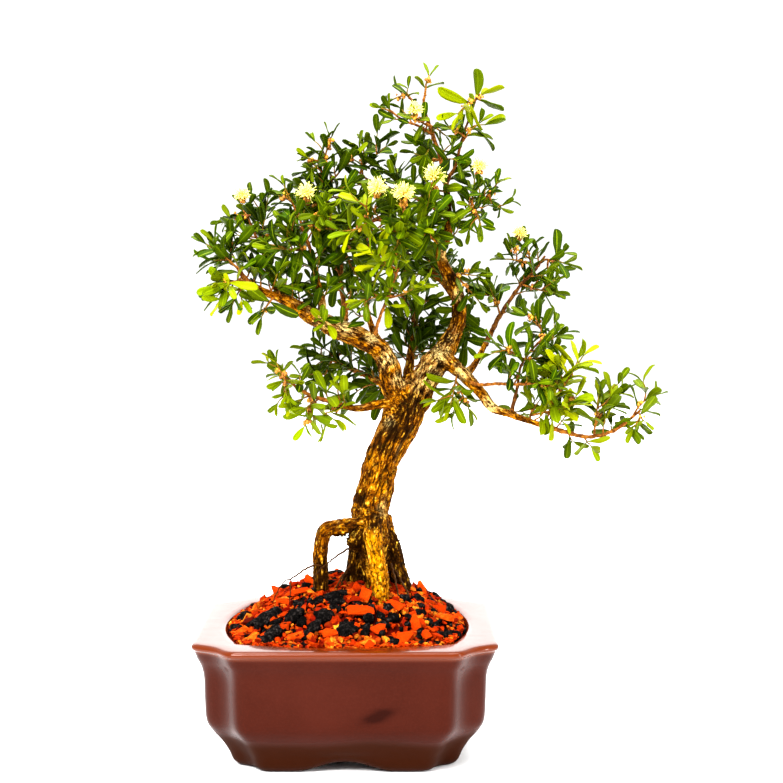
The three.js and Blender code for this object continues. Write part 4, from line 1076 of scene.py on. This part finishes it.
# Adds all leaves of a piece, given as root, direction, upper side, length, and how young each is
def addLeaves(heap, leaves, rng):
    roots, along, up, lengths, youth = map(np.array, zip(*leaves))
    along = unit(along)
    across = unit(np.cross(along, up))
    up = np.cross(across, along)
    for index, root in enumerate(roots):
        form, aside = leafForms[rng.integers(len(leafForms))]
        top = root + (form * lengths[index]) @ np.stack([across[index], along[index], up[index]])
        under = top - up[index] * leaf["thickness"]
        shade = rng.uniform(0, 1) ** leaf["shadePower"]
        tone = np.array([(side, shade, youth[index], upper) for upper in (1, 0) for side in aside])
        addTo(heap, np.vstack([top, under]), [leafQuads], tone=tone)


def leafMaterial():
    material, tree = newMaterial("waxy leaf")
    side, shade, youth, upper = toneMarks(tree)
    patches, height = grain(tree, *leaf["patches"])
    fine, _ = grain(tree, *leaf["grain"])
    old = layered(leaf["deep"], (shade, leaf["green"]), (times(patches, leaf["patchShare"]), leaf["green"]))
    new = layered(leaf["bright"], (shade, leaf["yellow"]))
    fromRib = times(mathOn("ABSOLUTE", mathOn("SUBTRACT", side, 0.5)), leaf["ribNarrowness"])
    rib = times(mathOn("SUBTRACT", 1.0, fromRib, clamp=True), leaf["ribShare"])
    under = times(mathOn("SUBTRACT", 1.0, upper), leaf["underShare"])
    colour = layered(old, (youth, new), (rib, leaf["rib"]), (under, leaf["under"]))
    roughness = mathOn("MULTIPLY_ADD", fine, leaf["roughGrain"], leaf["roughness"])
    return finish(material, colour, {"Roughness": roughness, **leaf["shine"]}, (height,), leaf["bumps"])


bud = {
    "dark": (0.2, 0.055, 0.002), "light": (0.75, 0.36, 0.015), "speck": (0.13, 0.028, 0.004),
    "specks": (1500, 0.4, 0.6), "speckShare": 0.4, "shine": {"Roughness": 0.6}, "bumps": ((0.4, 0.0005),),
    "radius": (0.6, 1.3), "away": (0.7, 2.7), "outward": 0.9, "around": 6, "rings": 4, "tall": 1.15,
}


def budMaterial():
    material, tree = newMaterial("dry buds")
    shade, _, _, _ = toneMarks(tree)
    specks, height = grain(tree, *bud["specks"])
    colour = layered(bud["dark"], (shade, bud["light"]), (times(specks, bud["speckShare"]), bud["speck"]))
    return finish(material, colour, bud["shine"], (height,), bud["bumps"])


leafSkin = leafMaterial()
budSkin = budMaterial()

# Sprays: each has its branch, its place on it from 0 to 1, and the tips of its shoots

sprays = [
    ("leftTip", "leftLimb", 0.97, [(-85, -38, 321), (-71, -24, 328)]),
    ("leftLow", "leftLimb", 0.9, [(-76, -48, 296), (-64, -44, 289)]),
    ("leftUnder", "leftLimb", 0.76, [(-51, -46, 278)]),
    ("outerTop", "outerRiser", 0.97, [(-66, -2, 346), (-79, 10, 336)]),
    ("outerSide", "outerRiser", 0.62, [(-51, 10, 350), (-40, 4, 331)]),
    ("leftTop", "leftRiser", 0.97, [(-39, -6, 358), (-25, -12, 350)]),
    ("leftFace", "leftRiser", 0.78, [(-15, -22, 344), (-5, -30, 331)]),
    ("leftBack", "leftRiser", 0.55, [(-38, -32, 333), (-45, -40, 319)]),
    ("innerTop", "innerRiser", 0.98, [(-11, 18, 389), (-24, 12, 377)]),
    ("innerSide", "innerRiser", 0.86, [(0, 28, 377)]),
    ("innerBack", "innerRiser", 0.66, [(-30, 34, 357), (-33, 38, 340)]),
    ("innerFace", "innerRiser", 0.5, [(3, -4, 340), (2, -12, 323), (7, -6, 302)]),
    ("middleTop", "middleRiser", 0.97, [(20, 42, 348), (5, 50, 346)]),
    ("crownLeftTip", "crownLeft", 0.98, [(10, 38, 384), (24, 34, 385)]),
    ("crownLeftBack", "crownLeft", 0.55, [(31, 26, 371), (39, 50, 347)]),
    ("frontTip", "frontTwig", 0.97, [(17, -44, 316), (33, -36, 322)]),
    ("frontLow", "frontTwig", 0.55, [(40, -42, 294), (10, -38, 287)]),
    ("crownFrontTip", "crownFront", 0.97, [(4, -46, 329), (14, -44, 349)]),
    ("crownFrontMid", "crownFront", 0.55, [(35, -38, 346), (30, -52, 318)]),
    ("crownFrontLow", "crownFront", 0.25, [(49, -32, 345), (52, -36, 329)]),
    ("leaderRight", "leader", 0.48, [(78, -4, 305), (84, 4, 286)]),
    ("leaderMid", "leader", 0.7, [(53, -16, 357)]),
    ("leaderHigh", "leader", 0.78, [(44, 12, 380)]),
    ("crownRightTip", "crownRight", 0.97, [(94, -16, 359), (96, -12, 346)]),
    ("crownRightMid", "crownRight", 0.5, [(81, -2, 362), (84, -24, 334)]),
    ("apexRightTip", "apexRight", 0.97, [(84, -3, 415), (71, -14, 404)]),
    ("apexRightMid", "apexRight", 0.45, [(83, -12, 397), (65, -14, 395)]),
    ("apexLeftTip", "apexLeft", 0.97, [(23, -6, 407)]),
    ("apexCrown", "apexTip", 0.97, [(31, 10, 415)]),
    ("leaderTip", "leader", 0.99, [(52, 0, 427)]),
    ("leaderSide", "leader", 0.85, [(44, -14, 402), (62, -4, 391)]),
    ("backMiddleTip", "backMiddle", 0.9, [(33, 60, 295), (54, 58, 285)]),
    ("backUpperTip", "backUpper", 0.8, [(21, 68, 322), (37, 74, 332)]),
    ("lowLeftTip", "lowLeft", 0.97, [(-43, -28, 247), (-37, -36, 229)]),
    ("lowLeftHang", "lowLeft", 0.68, [(-25, -34, 210), (-9, -28, 213)]),
    ("backLeftTip", "backLeft", 0.8, [(-26, 46, 251), (-18, 42, 229), (1, 34, 256)]),
    ("rightRiserTip", "rightRiser", 0.97, [(139, 22, 310), (132, 30, 297)]),
    ("rightRiserHigh", "rightRiser", 0.84, [(116, 26, 322), (103, 14, 312)]),
    ("rightRiserMid", "rightRiser", 0.68, [(133, 18, 291)]),
    ("rightRiserLow", "rightRiser", 0.5, [(92, 6, 293)]),
    ("lowTwigTip", "lowTwig", 0.97, [(131, -12, 263), (121, -6, 275)]),
    ("lowTwigMid", "lowTwig", 0.6, [(100, -22, 257), (127, -8, 246)]),
    ("sideTwigTip", "sideTwig", 0.9, [(129, -36, 234)]),
    ("brightUpper", "rightBranch", 0.62, [(135, -20, 241), (148, -26, 251)]),
    ("brightLower", "rightBranch", 0.57, [(120, -4, 221), (143, -32, 222)]),
    ("farRightUp", "rightBranch", 0.82, [(160, -14, 225), (175, -2, 227)]),
    ("farRightTip", "rightBranch", 0.97, [(195, -8, 225), (188, -18, 211)]),
    ("limbUnder", "rightBranch", 0.14, [(66, -14, 221), (77, -8, 219)]),
]

# How young the leaves are, from 0 to 1, where they aren't as old as most
youngSprays = {
    "leftLow": 0.75, "frontTip": 1, "leftFace": 0.2, "crownFrontMid": 0.1, "brightUpper": 0.85,
    "brightLower": 0.75, "lowLeftHang": 0.85, "apexRightTip": 0.6, "leaderTip": 0.45, "lowLeftTip": 0.35,
    "frontLow": 0.25, "farRightUp": 0.3, "farRightTip": 0.25, "limbUnder": 0.4, "leaderSide": 0.2,
    "rightRiserMid": 0.15, "crownFrontTip": 0.38,
}

# How large the leaves are where they aren't of the usual size
leafScales = {
    "apexLeftTip": 0.68, "apexCrown": 0.78, "leaderTip": 0.9, "apexRightTip": 1.12, "outerTop": 0.68,
    "crownRightTip": 0.7, "lowLeftTip": 0.8, "farRightTip": 0.92, "leaderHigh": 0.8, "apexRightMid": 0.92,
    "leaderSide": 0.8, "leftTop": 0.78, "frontLow": 0.8, "innerTop": 0.9, "rightRiserHigh": 0.85,
    "crownRightMid": 0.85, "leaderRight": 0.85, "sideTwigTip": 0.8, "rightRiserMid": 0.85,
}

# Sprays without side shoots
sparseSprays = ("apexRightTip", "apexRightMid", "apexCrown", "apexLeftTip", "leaderTip", "leaderSide")

# Short shoots along the outer part of each limb: first and last place on it, and how many
shortShoots = {
    "leftLimb": (0.42, 0.97, 13), "leader": (0.5, 0.8, 9), "rightBranch": (0.5, 0.97, 9),
    "rightRiser": (0.45, 0.95, 6), "lowLeft": (0.3, 0.97, 9), "backLeft": (0.1, 0.97, 15),
    "backMiddle": (0.3, 0.8, 15), "backUpper": (0.2, 0.97, 20), "middleRiser": (0.3, 0.97, 14),
    "leftRiser": (0.15, 0.97, 15), "innerRiser": (0.12, 0.97, 19), "outerRiser": (0.2, 0.9, 9),
    "crownFront": (0.2, 0.97, 10), "crownLeft": (0.2, 0.97, 9), "crownRight": (0.2, 0.97, 5),
    "frontTwig": (0.35, 0.97, 4), "lowTwig": (0.35, 0.97, 6), "sideTwig": (0.45, 0.97, 5),
    "apexRight": (0.25, 0.8, 1), "apexLeft": (0.25, 0.97, 3), "apexTip": (0.4, 0.97, 1),
}

# Shoots that fill places the others leave open: where each leaves its limb, and its tip
extraShoots = {
    "backMiddle": [(0.3, (58, 44, 258)), (0.4, (62, 54, 270)), (0.5, (52, 60, 268)), (0.25, (66, 46, 250))],
    "leader": [
        (0.3, (78, 34, 255)), (0.35, (80, 30, 264)), (0.4, (72, 34, 272)), (0.83, (50, -8, 378)),
        (0.8, (70, -10, 374)), (0.86, (47, 10, 384)),
    ],
    "innerRiser": [(0.82, (4, 10, 361)), (0.7, (5, 16, 350)), (0.78, (-2, 6, 352))],
    "backLeft": [(0.12, (16, 34, 228)), (0.2, (2, 34, 222)), (0.1, (24, 30, 220))],
    "leftLimb": [
        (0.93, (-79, -44, 290)), (0.78, (-42, -38, 304)), (0.72, (-36, -22, 308)), (0.9, (-70, -40, 285)),
        (0.97, (-80, -30, 319)), (0.95, (-74, -26, 322)),
    ],
    "backUpper": [(0.3, (48, 46, 322)), (0.2, (58, 40, 318))],
}

shoot = {
    "radius": 0.72, "sideShoots": 2.2, "sideEvery": 30, "sideLength": (8, 15), "shortLength": (7, 16),
    "budChance": 0.75, "fork": 0.3, "overreach": 1.5, "usualYouth": 0.06, "youngFrom": 0.45,
    "sideThickness": 0.72, "shortThickness": 0.8,
    "firstPair": 0.32, "sideFirstPair": 0.4, "shortFirstPair": 0.45,
    "taper": 0.42, "joints": 0.12, "segment": 2.2, "around": 7, "bend": 0.9, "wiggle": 0.25,
    "endSpread": (0.32, 0.6), "spread": 0.8, "closing": 0.42, "spreadWander": 0.14, "turnWander": 0.22,
    "wayWander": 0.09, "lift": 0.04, "endScale": 0.86, "upLean": 0.35, "upWander": 0.12,
    "outerYouth": 0.25, "endYouth": 0.12, "youthWander": 0.1, "stemGreen": 0.8,
    "sideFrom": 0.28, "sideReach": 0.5, "sideForward": 0.75, "sideLift": 0.25,
    "shortForward": 0.55, "shortLift": 0.2, "budsFrom": 0.35, "budsReach": 0.4, "sideTurn": 0.9,
}


def budBall(rng, centre, radius):
    count, rings = bud["around"], bud["rings"]
    rows = []
    for ring in range(rings):
        polar = math.pi * (ring + 0.5) / rings
        turn = np.arange(count) * 2 * math.pi / count + 0.5 * ring
        height = np.full(count, -np.cos(polar) * bud["tall"])
        rows.append(np.column_stack([ringAt(np.sin(polar), turn), height]))
    lean = randomTurn(rng, 0.6)
    return (np.vstack(rows) * radius) @ lean.T + centre, cappedRings(rings, count)


def addBuds(heap, centre, outward, rng, count, look):
    for _ in range(count):
        away = unit(rng.normal(0, 1, 3) + bud["outward"] * np.asarray(outward))
        radius = rng.uniform(*bud["radius"])
        points, faces = budBall(rng, centre + away * rng.uniform(*bud["away"]), radius)
        addTo(heap, points, faces, look, (rng.uniform(0, 1), rng.uniform(0, 1), 0, 1))


def pointAt(centres, share):
    steps = np.linspace(0, 1, len(centres))
    return np.array([np.interp(share, steps, column) for column in centres.T])


# A shoot with its pairs of leaves, each pair turned a quarter from the one before
def growShoot(heap, leaves, rng, start, tip, side, youth, firstPair, thickness=1, scale=1):
    thick = shoot["radius"] * thickness
    length = np.linalg.norm(tip - start)
    stem = (tip - start) / length
    side = unit(side - stem * side.dot(stem))
    across = np.cross(stem, side)
    shares = np.linspace(0, 1, max(5, int(length / shoot["segment"])))
    bent = side * rng.normal(0, shoot["bend"]) + across * rng.normal(0, shoot["bend"])
    bend = np.sin(shares * math.pi)[:, None] * bent
    bend += np.sin(shares * 3 * math.pi)[:, None] * side * rng.normal(0, shoot["wiggle"])
    centres = start + shares[:, None] * (tip - start) + bend
    joints = 1 + shoot["joints"] * (np.arange(len(shares)) % 2)
    points, faces = tube(centres, thick * (1 - shoot["taper"] * shares) * joints, shoot["around"])
    green = np.repeat(np.append(shares, 1) ** 2, shoot["around"]) * shoot["stemGreen"]
    addTo(heap, points, faces, 1, np.stack([green, 0.25 * (1 - green), 0 * green, green], 1))
    pairs = max(2, int(length * (1 - firstPair) / leaf["pairStep"]) + 1)
    quarter = rng.integers(2)
    for pair, share in enumerate(np.linspace(firstPair, 1, pairs)):
        root = pointAt(centres, share)
        last = pair == pairs - 1
        wander = shoot["spreadWander"]
        apart = shoot["spread"] + shoot["closing"] * (1 - share)
        spread = rng.uniform(*shoot["endSpread"]) if last else apart + rng.uniform(-wander, wander)
        for half in range(2):
            turn = (quarter + pair) * math.pi / 2 + half * math.pi + rng.normal(0, shoot["turnWander"])
            out = outFrom(side, across, turn)
            way = outFrom(stem, out, spread) + rng.normal(0, shoot["wayWander"], 3) + (0, 0, shoot["lift"])
            size = scale * rng.uniform(*leaf["length"]) * (shoot["endScale"] if last else 1)
            size *= 0.8 + 0.2 * math.sin(share * math.pi)
            size = min(size, (leaf["highest"] - root[2]) / max(0.1, unit(way)[2]))
            up = stem + (0, 0, shoot["upLean"]) + rng.normal(0, shoot["upWander"], 3)
            older = youth + shoot["outerYouth"] * share * youth
            young = older + rng.normal(0, shoot["youthWander"]) + shoot["endYouth"] * last
            leaves.append((root + out * thick * 0.5, way, up, size, np.clip(young, 0, 1)))
    return centres, stem, side, across


twigPoints = []


# The long shoots of a spray, with side shoots and buds on them
def growLong(heap, leaves, rng, number, row, youth, scale):
    name, branch, at, tips = row
    base = pathPoints(wood[branch], at)[0]
    fork = base + shoot["fork"] * (np.array(tips[0]) - base)
    for shootNumber, tip in enumerate(np.array(tips, float)):
        start = fork if shootNumber else base
        seed = 17 * number + 5 * shootNumber
        stem = unit(tip - start)
        level = unit(np.cross(stem, (0, 0.35, 1)))
        side = outFrom(level, np.cross(stem, level), shoot["sideTurn"] * (chance(seed + 0.15) - 0.5))
        length = np.linalg.norm(tip - start)
        end = tip + shoot["overreach"] * stem
        centres, stem, side, across = growShoot(
            heap, leaves, rng, start, end, side, youth, shoot["firstPair"], scale=scale)
        twigPoints.extend(centres[1:-1])
        count = max(1, round(length / shoot["sideEvery"] * shoot["sideShoots"]))
        for step in range(0 if name in sparseSprays else count):
            share = shoot["sideFrom"] + shoot["sideReach"] * (step + rng.uniform(0, 0.8)) / count
            root = pointAt(centres, share)
            out = outFrom(side, across, rng.uniform(0, 2 * math.pi))
            reach = rng.uniform(*shoot["sideLength"])
            sideTip = root + reach * unit(shoot["sideForward"] * stem + out + (0, 0, shoot["sideLift"]))
            sideCentres = growShoot(heap, leaves, rng, root, sideTip, np.cross(out, stem), youth,
                                    shoot["sideFirstPair"], shoot["sideThickness"], scale)[0]
            twigPoints.extend(sideCentres[1:-1])
        if chance(seed + 0.7) < shoot["budChance"]:
            share = shoot["budsFrom"] + shoot["budsReach"] * chance(seed + 0.8)
            addBuds(heap, centres[int(len(centres) * share)], side, rng, 3 + int(4 * chance(seed + 0.9)), 2)


# Short shoots on the limb itself, shared out among the sprays of the limb
def growShort(heap, leaves, rng, row, youth, scale):
    branch = row[1]
    path = wood[branch]
    mates = [mate for mate in sprays if mate[1] == branch]
    low, high, count = shortShoots[branch]
    for step in range(mates.index(row), count, len(mates)):
        share = low + (high - low) * (step + rng.uniform(0, 0.9)) / count
        root, ahead = pathPoints(path, [share, min(1, share + 0.02)])
        onward = unit(ahead - root + 1e-6)
        out = unit(rng.normal(0, 1, 3) + (0, 0, 0.5))
        out = unit(out - onward * out.dot(onward))
        way = unit(shoot["shortForward"] * onward + out + (0, 0, shoot["shortLift"]))
        tip = root + rng.uniform(*shoot["shortLength"]) * way
        growShoot(heap, leaves, rng, root, tip, np.cross(out, onward), youth / 2, shoot["shortFirstPair"],
                  shoot["shortThickness"], scale)
    if row is mates[0]:
        for share, tip in extraShoots.get(branch, []):
            growShoot(heap, leaves, rng, pathPoints(path, share)[0], np.array(tip), np.array((0.3, 0.2, 1)),
                      youth / 2, shoot["sideFirstPair"], shoot["shortThickness"])


def makeSpray(number, row):
    name = row[0]
    rng = np.random.default_rng(300 + number)
    heap, leaves = newHeap(), []
    youth, scale = youngSprays.get(name, shoot["usualYouth"]), leafScales.get(name, 1)
    growLong(heap, leaves, rng, number, row, youth, scale)
    growShort(heap, leaves, rng, row, youth, scale)
    addLeaves(heap, leaves, rng)
    slot = "young_leaf" if youth >= shoot["youngFrom"] else "leaf"
    heapPiece(f"leaves_{name}", heap, [leafSkin, twigBark, budSkin], slot, [f"spray_{name}"])
    return len(leaves)


leafCount = sum(makeSpray(number, row) for number, row in enumerate(sprays))

# Clusters of flower buds sit on the twigs nearest to these places
budPlaces = [
    (-11, 16, 391), (-16, 16, 387), (-8, 17, 384), (-2, 18, 378), (3, 18, 383), (-16, 16, 378),
    (-13, 16, 372), (0, 14, 368), (-63, -14, 335), (-46, -10, 330), (-42, -4, 345), (-17, -8, 348),
    (-12, -12, 343), (-31, -14, 337), (-4, -8, 315), (36, -42, 346), (42, -42, 344), (43, -40, 338),
    (32, -24, 376), (29, -34, 363), (65, -20, 352), (69, -4, 314), (36, -6, 395), (42, 2, 413),
    (54, 0, 426), (84, -6, 418), (79, -8, 412), (113, 14, 320), (120, -10, 279), (120, -8, 274),
    (106, -12, 266), (125, -10, 261), (115, -14, 248), (87, -10, 236), (-16, -20, 251), (-5, -20, 248),
    (-23, -24, 243), (4, -18, 238), (11, -14, 234), (-22, -34, 211), (-29, -26, 227), (147, -20, 227),
    (171, -10, 220),
]


def makeFlowerBuds():
    rng = np.random.default_rng(64)
    heap = newHeap()
    for place in budPlaces:
        nearest = min(twigPoints, key=lambda point: np.linalg.norm(point - place))
        addBuds(heap, nearest, (0, -0.7, 0.3), rng, rng.integers(7, 12), 0)
    heapPiece("flower_buds", heap, [budSkin], "bloom")


makeFlowerBuds()
print("leaves made:", leafCount)

# Blooms: tufts of fine stamens over small cream petals, each at the tip of a shoot

bloom = {
    "places": {
        "Outer": (-66, -6, 353, 4.6), "Left": (-25, -16, 354, 5.6), "Front": (20, -47, 356, 6.2),
        "Middle": (36, -42, 353, 6.6), "Crown": (55, -20, 364, 7), "Right": (84, -5, 371, 4.8),
        "Apex": (43, -16, 406, 4.8), "Riser": (112, 24, 329, 4.4),
    },
    "stamens": 200, "petals": 9, "threadRadius": 0.27,
    "cream": (0.92, 0.86, 0.27), "tip": (0.9, 0.55, 0.02), "heart": (0.6, 0.36, 0.01),
    "dust": (2200, 0.35, 0.65), "dustShare": 0.7, "shine": {"Roughness": 0.65}, "bumps": ((0.3, 0.0004),),
    "directionSpread": 0.24, "reach": (0.6, 1.2), "tangle": 0.2, "tipRadius": (0.26, 0.42), "tipEvery": 3,
    "buds": 11, "stemRadius": 0.7, "petalDrop": 0.35, "petalLength": 0.95, "petalLift": 0.5,
    "budDrop": 0.6, "footDrop": 0.95, "lowest": 1.35, "firstThread": 0.12, "threadTaper": (1.3, 0.9),
}


def bloomMaterial():
    material, tree = newMaterial("cream stamens")
    outwards, shade, _, _ = toneMarks(tree)
    dust, height = grain(tree, *bloom["dust"])
    dusty = times(dust, times(shade, bloom["dustShare"]))
    colour = layered(bloom["heart"], (outwards, bloom["cream"]), (dusty, bloom["tip"]))
    return finish(material, colour, bloom["shine"], (height,), bloom["bumps"])


bloomSkin = bloomMaterial()


def addStamen(heap, rng, number, centre, size, upward, right, front):
    height = 1 - bloom["lowest"] * (number + 0.5) / bloom["stamens"]
    flat = math.sqrt(max(0, 1 - height * height))
    out = unit(flat * outFrom(right, front, number * goldenAngle) + upward * height)
    out = unit(out + rng.normal(0, bloom["directionSpread"], 3))
    reach = size * rng.uniform(*bloom["reach"])
    shares = np.linspace(bloom["firstThread"], 1, 5)
    bend = unit(rng.normal(0, 1, 3)) * size * bloom["tangle"]
    centres = centre + shares[:, None] * out * reach + (shares ** 2)[:, None] * bend
    thick, taper = bloom["threadTaper"]
    points, faces = tube(centres, bloom["threadRadius"] * (thick - taper * shares), 4)
    outward = np.repeat(np.append(shares, 1), 4)
    shade = (1 - outward) * rng.uniform(0, 1)
    addTo(heap, points, faces, 0, np.stack([outward, shade, 0 * outward, outward], 1))
    if number % bloom["tipEvery"] == 0:
        points, faces = budBall(rng, centres[-1], rng.uniform(*bloom["tipRadius"]))
        addTo(heap, points, faces, 0, (1, rng.uniform(0.5, 1), 0, 1))


def makeBloom(name, x, y, z, size, seed):
    rng = np.random.default_rng(seed)
    heap, petals = newHeap(), []
    centre = np.array((x, y, z), float)
    upward = unit((0.15 * (x - 20) / 60, -0.35, 1.0))
    right = unit(np.cross((0, 1, 0), upward))
    front = np.cross(upward, right)
    for number in range(bloom["stamens"]):
        addStamen(heap, rng, number, centre, size, upward, right, front)
    heart = centre - upward * size * bloom["petalDrop"]
    for number in range(bloom["petals"]):
        out = outFrom(right, front, number * goldenAngle) + bloom["petalLift"] * upward
        petals.append((heart, out, upward, size * bloom["petalLength"], 1))
    addLeaves(heap, petals, rng)
    addBuds(heap, centre - upward * size * bloom["budDrop"], -upward, rng, bloom["buds"], 1)
    foot = centre - upward * size * bloom["footDrop"]
    addTo(heap, *tube(np.linspace(foot, centre, 4), np.full(4, bloom["stemRadius"]), 6), 2, (0.5, 0.2, 0, 1))
    heapPiece(f"tuft_{name}", heap, [bloomSkin, budSkin, twigBark], "bloom", [f"bloom_{name}"])


for number, (name, spot) in enumerate(bloom["places"].items()):
    makeBloom(name, *spot, 900 + number)
print("blooms made")

# Fine roots that wander from the foot of the tree into the soil

fineRoots = [
    [(-14, -14, 116, 0.5), (-20, -17, 118, 0.5), (-26, -18, 115.6, 0.48), (-35.4, -20, 109.8, 0.36),
        (-39, -21, 108.6, 0.3), (-43, -22, 103.5, 0.26), (-47, -24, 95, 0.22)],
    [(-35.4, -20, 109.8, 0.34), (-35.4, -21, 105.4, 0.3), (-36.4, -23, 96, 0.24)],
    [(4, -8, 127.4, 0.55), (-2, -10, 126, 0.5), (-10.8, -12, 119.4, 0.36), (-16, -18, 116.4, 0.34),
        (-22, -20, 110, 0.3)],
    [(2, -4, 116, 0.6), (-4, -8, 108, 0.5), (-9, -12, 99, 0.42)],
    [(31, -4, 112, 0.6), (36, -8, 104, 0.5), (40, -12, 97, 0.4)],
    [(28, -12, 118, 0.55), (31, -16, 108, 0.5), (33, -20, 98, 0.4)],
    [(1, -2, 112, 0.7), (-3, -6, 106, 0.6), (-5, -10, 98, 0.5)],
]


def makeFineRoots():
    rng = np.random.default_rng(41)
    heap = newHeap()
    for path in fineRoots:
        centres, radii = limbSamples(path, 1.2)
        centres = centres + rng.normal(0, 0.2, centres.shape)
        addTo(heap, *tube(centres, radii * 1.4, 6), tone=(0, 0, 1, 1))
    heapPiece("fine_roots", heap, [twigBark], "bark")


makeFineRoots()

# Floor, light and camera

studio = {
    "cameraPlace": (28.5, -1200, 317), "pitchDown": 4.26, "lens": 86.2,
    "worldStrength": 1.0, "floor": (0.95, 0.95, 0.95),
    "lights": [
        # name, place in mm, target in mm, width in metres, height in metres, power in watts
        ("key softbox", (-700, -1300, 1500), (20, 0, 220), 1.2, 1.2, 105),
        ("strip light", (1300, -640, 420), (60, -40, 60), 0.2, 1.1, 22),
        ("top softbox", (100, 200, 1900), (20, 0, 200), 1.4, 1.4, 62),
        ("back glow", (0, 2600, 500), (20, 0, 150), 3.4, 1.6, 27),
    ],
    "floorShade": (0.94, 0.94, 0.945), "clouds": (3,), "shine": {"Roughness": 0.6}, "floorReach": 12,
    "sensor": 36,
}


def floorMaterial():
    material, tree = newMaterial("white sweep")
    mask, _ = grain(tree, *studio["clouds"])
    return finish(material, layered(studio["floor"], (mask, studio["floorShade"])), studio["shine"])


def putIn(name, data, at):
    thing = bpy.data.objects.new(name, data)
    thing.location = at
    scene.collection.objects.link(thing)
    return thing


def makeFloor():
    floor = bpy.data.meshes.new("floor")
    reach = studio["floorReach"]
    corners = [(-reach, -reach, 0), (reach, -reach, 0), (reach, reach, 0), (-reach, reach, 0)]
    middle = Vector(toFrame((0, 0, -plantBase)))
    floor.from_pydata([Vector(corner) + middle for corner in corners], [], [(0, 1, 2, 3)])
    floor.materials.append(floorMaterial())
    sweep = putIn("floor", floor, (0, 0, 0))


def makeLights():
    for name, at, target, width, height, power in studio["lights"]:
        light = bpy.data.lights.new(name, "AREA")
        light.shape = "RECTANGLE"
        light.size = width
        light.size_y = height
        light.energy = power
        facing = Vector(target) - Vector(at)
        lamp = putIn(name, light, toFrame(at))
        lamp.rotation_euler = facing.to_track_quat("-Z", "Y").to_euler()
    world = bpy.data.worlds.new("bright studio")
    world.use_nodes = True
    background = world.node_tree.nodes["Background"].inputs
    background["Color"].default_value = (1, 1, 1, 1)
    background["Strength"].default_value = studio["worldStrength"]
    scene.world = world
    scene.view_settings.view_transform = "Standard"
    scene.view_settings.look = "Medium High Contrast"


def makeCamera():
    lens = bpy.data.cameras.new("photo view")
    lens.lens = studio["lens"]
    lens.sensor_width = studio["sensor"]
    camera = putIn("photo view", lens, toFrame(studio["cameraPlace"]))
    camera.rotation_euler = (math.radians(90 - studio["pitchDown"]), 0, 0)
    scene.camera = camera


makeFloor()
makeLights()
makeCamera()
print("studio ready")
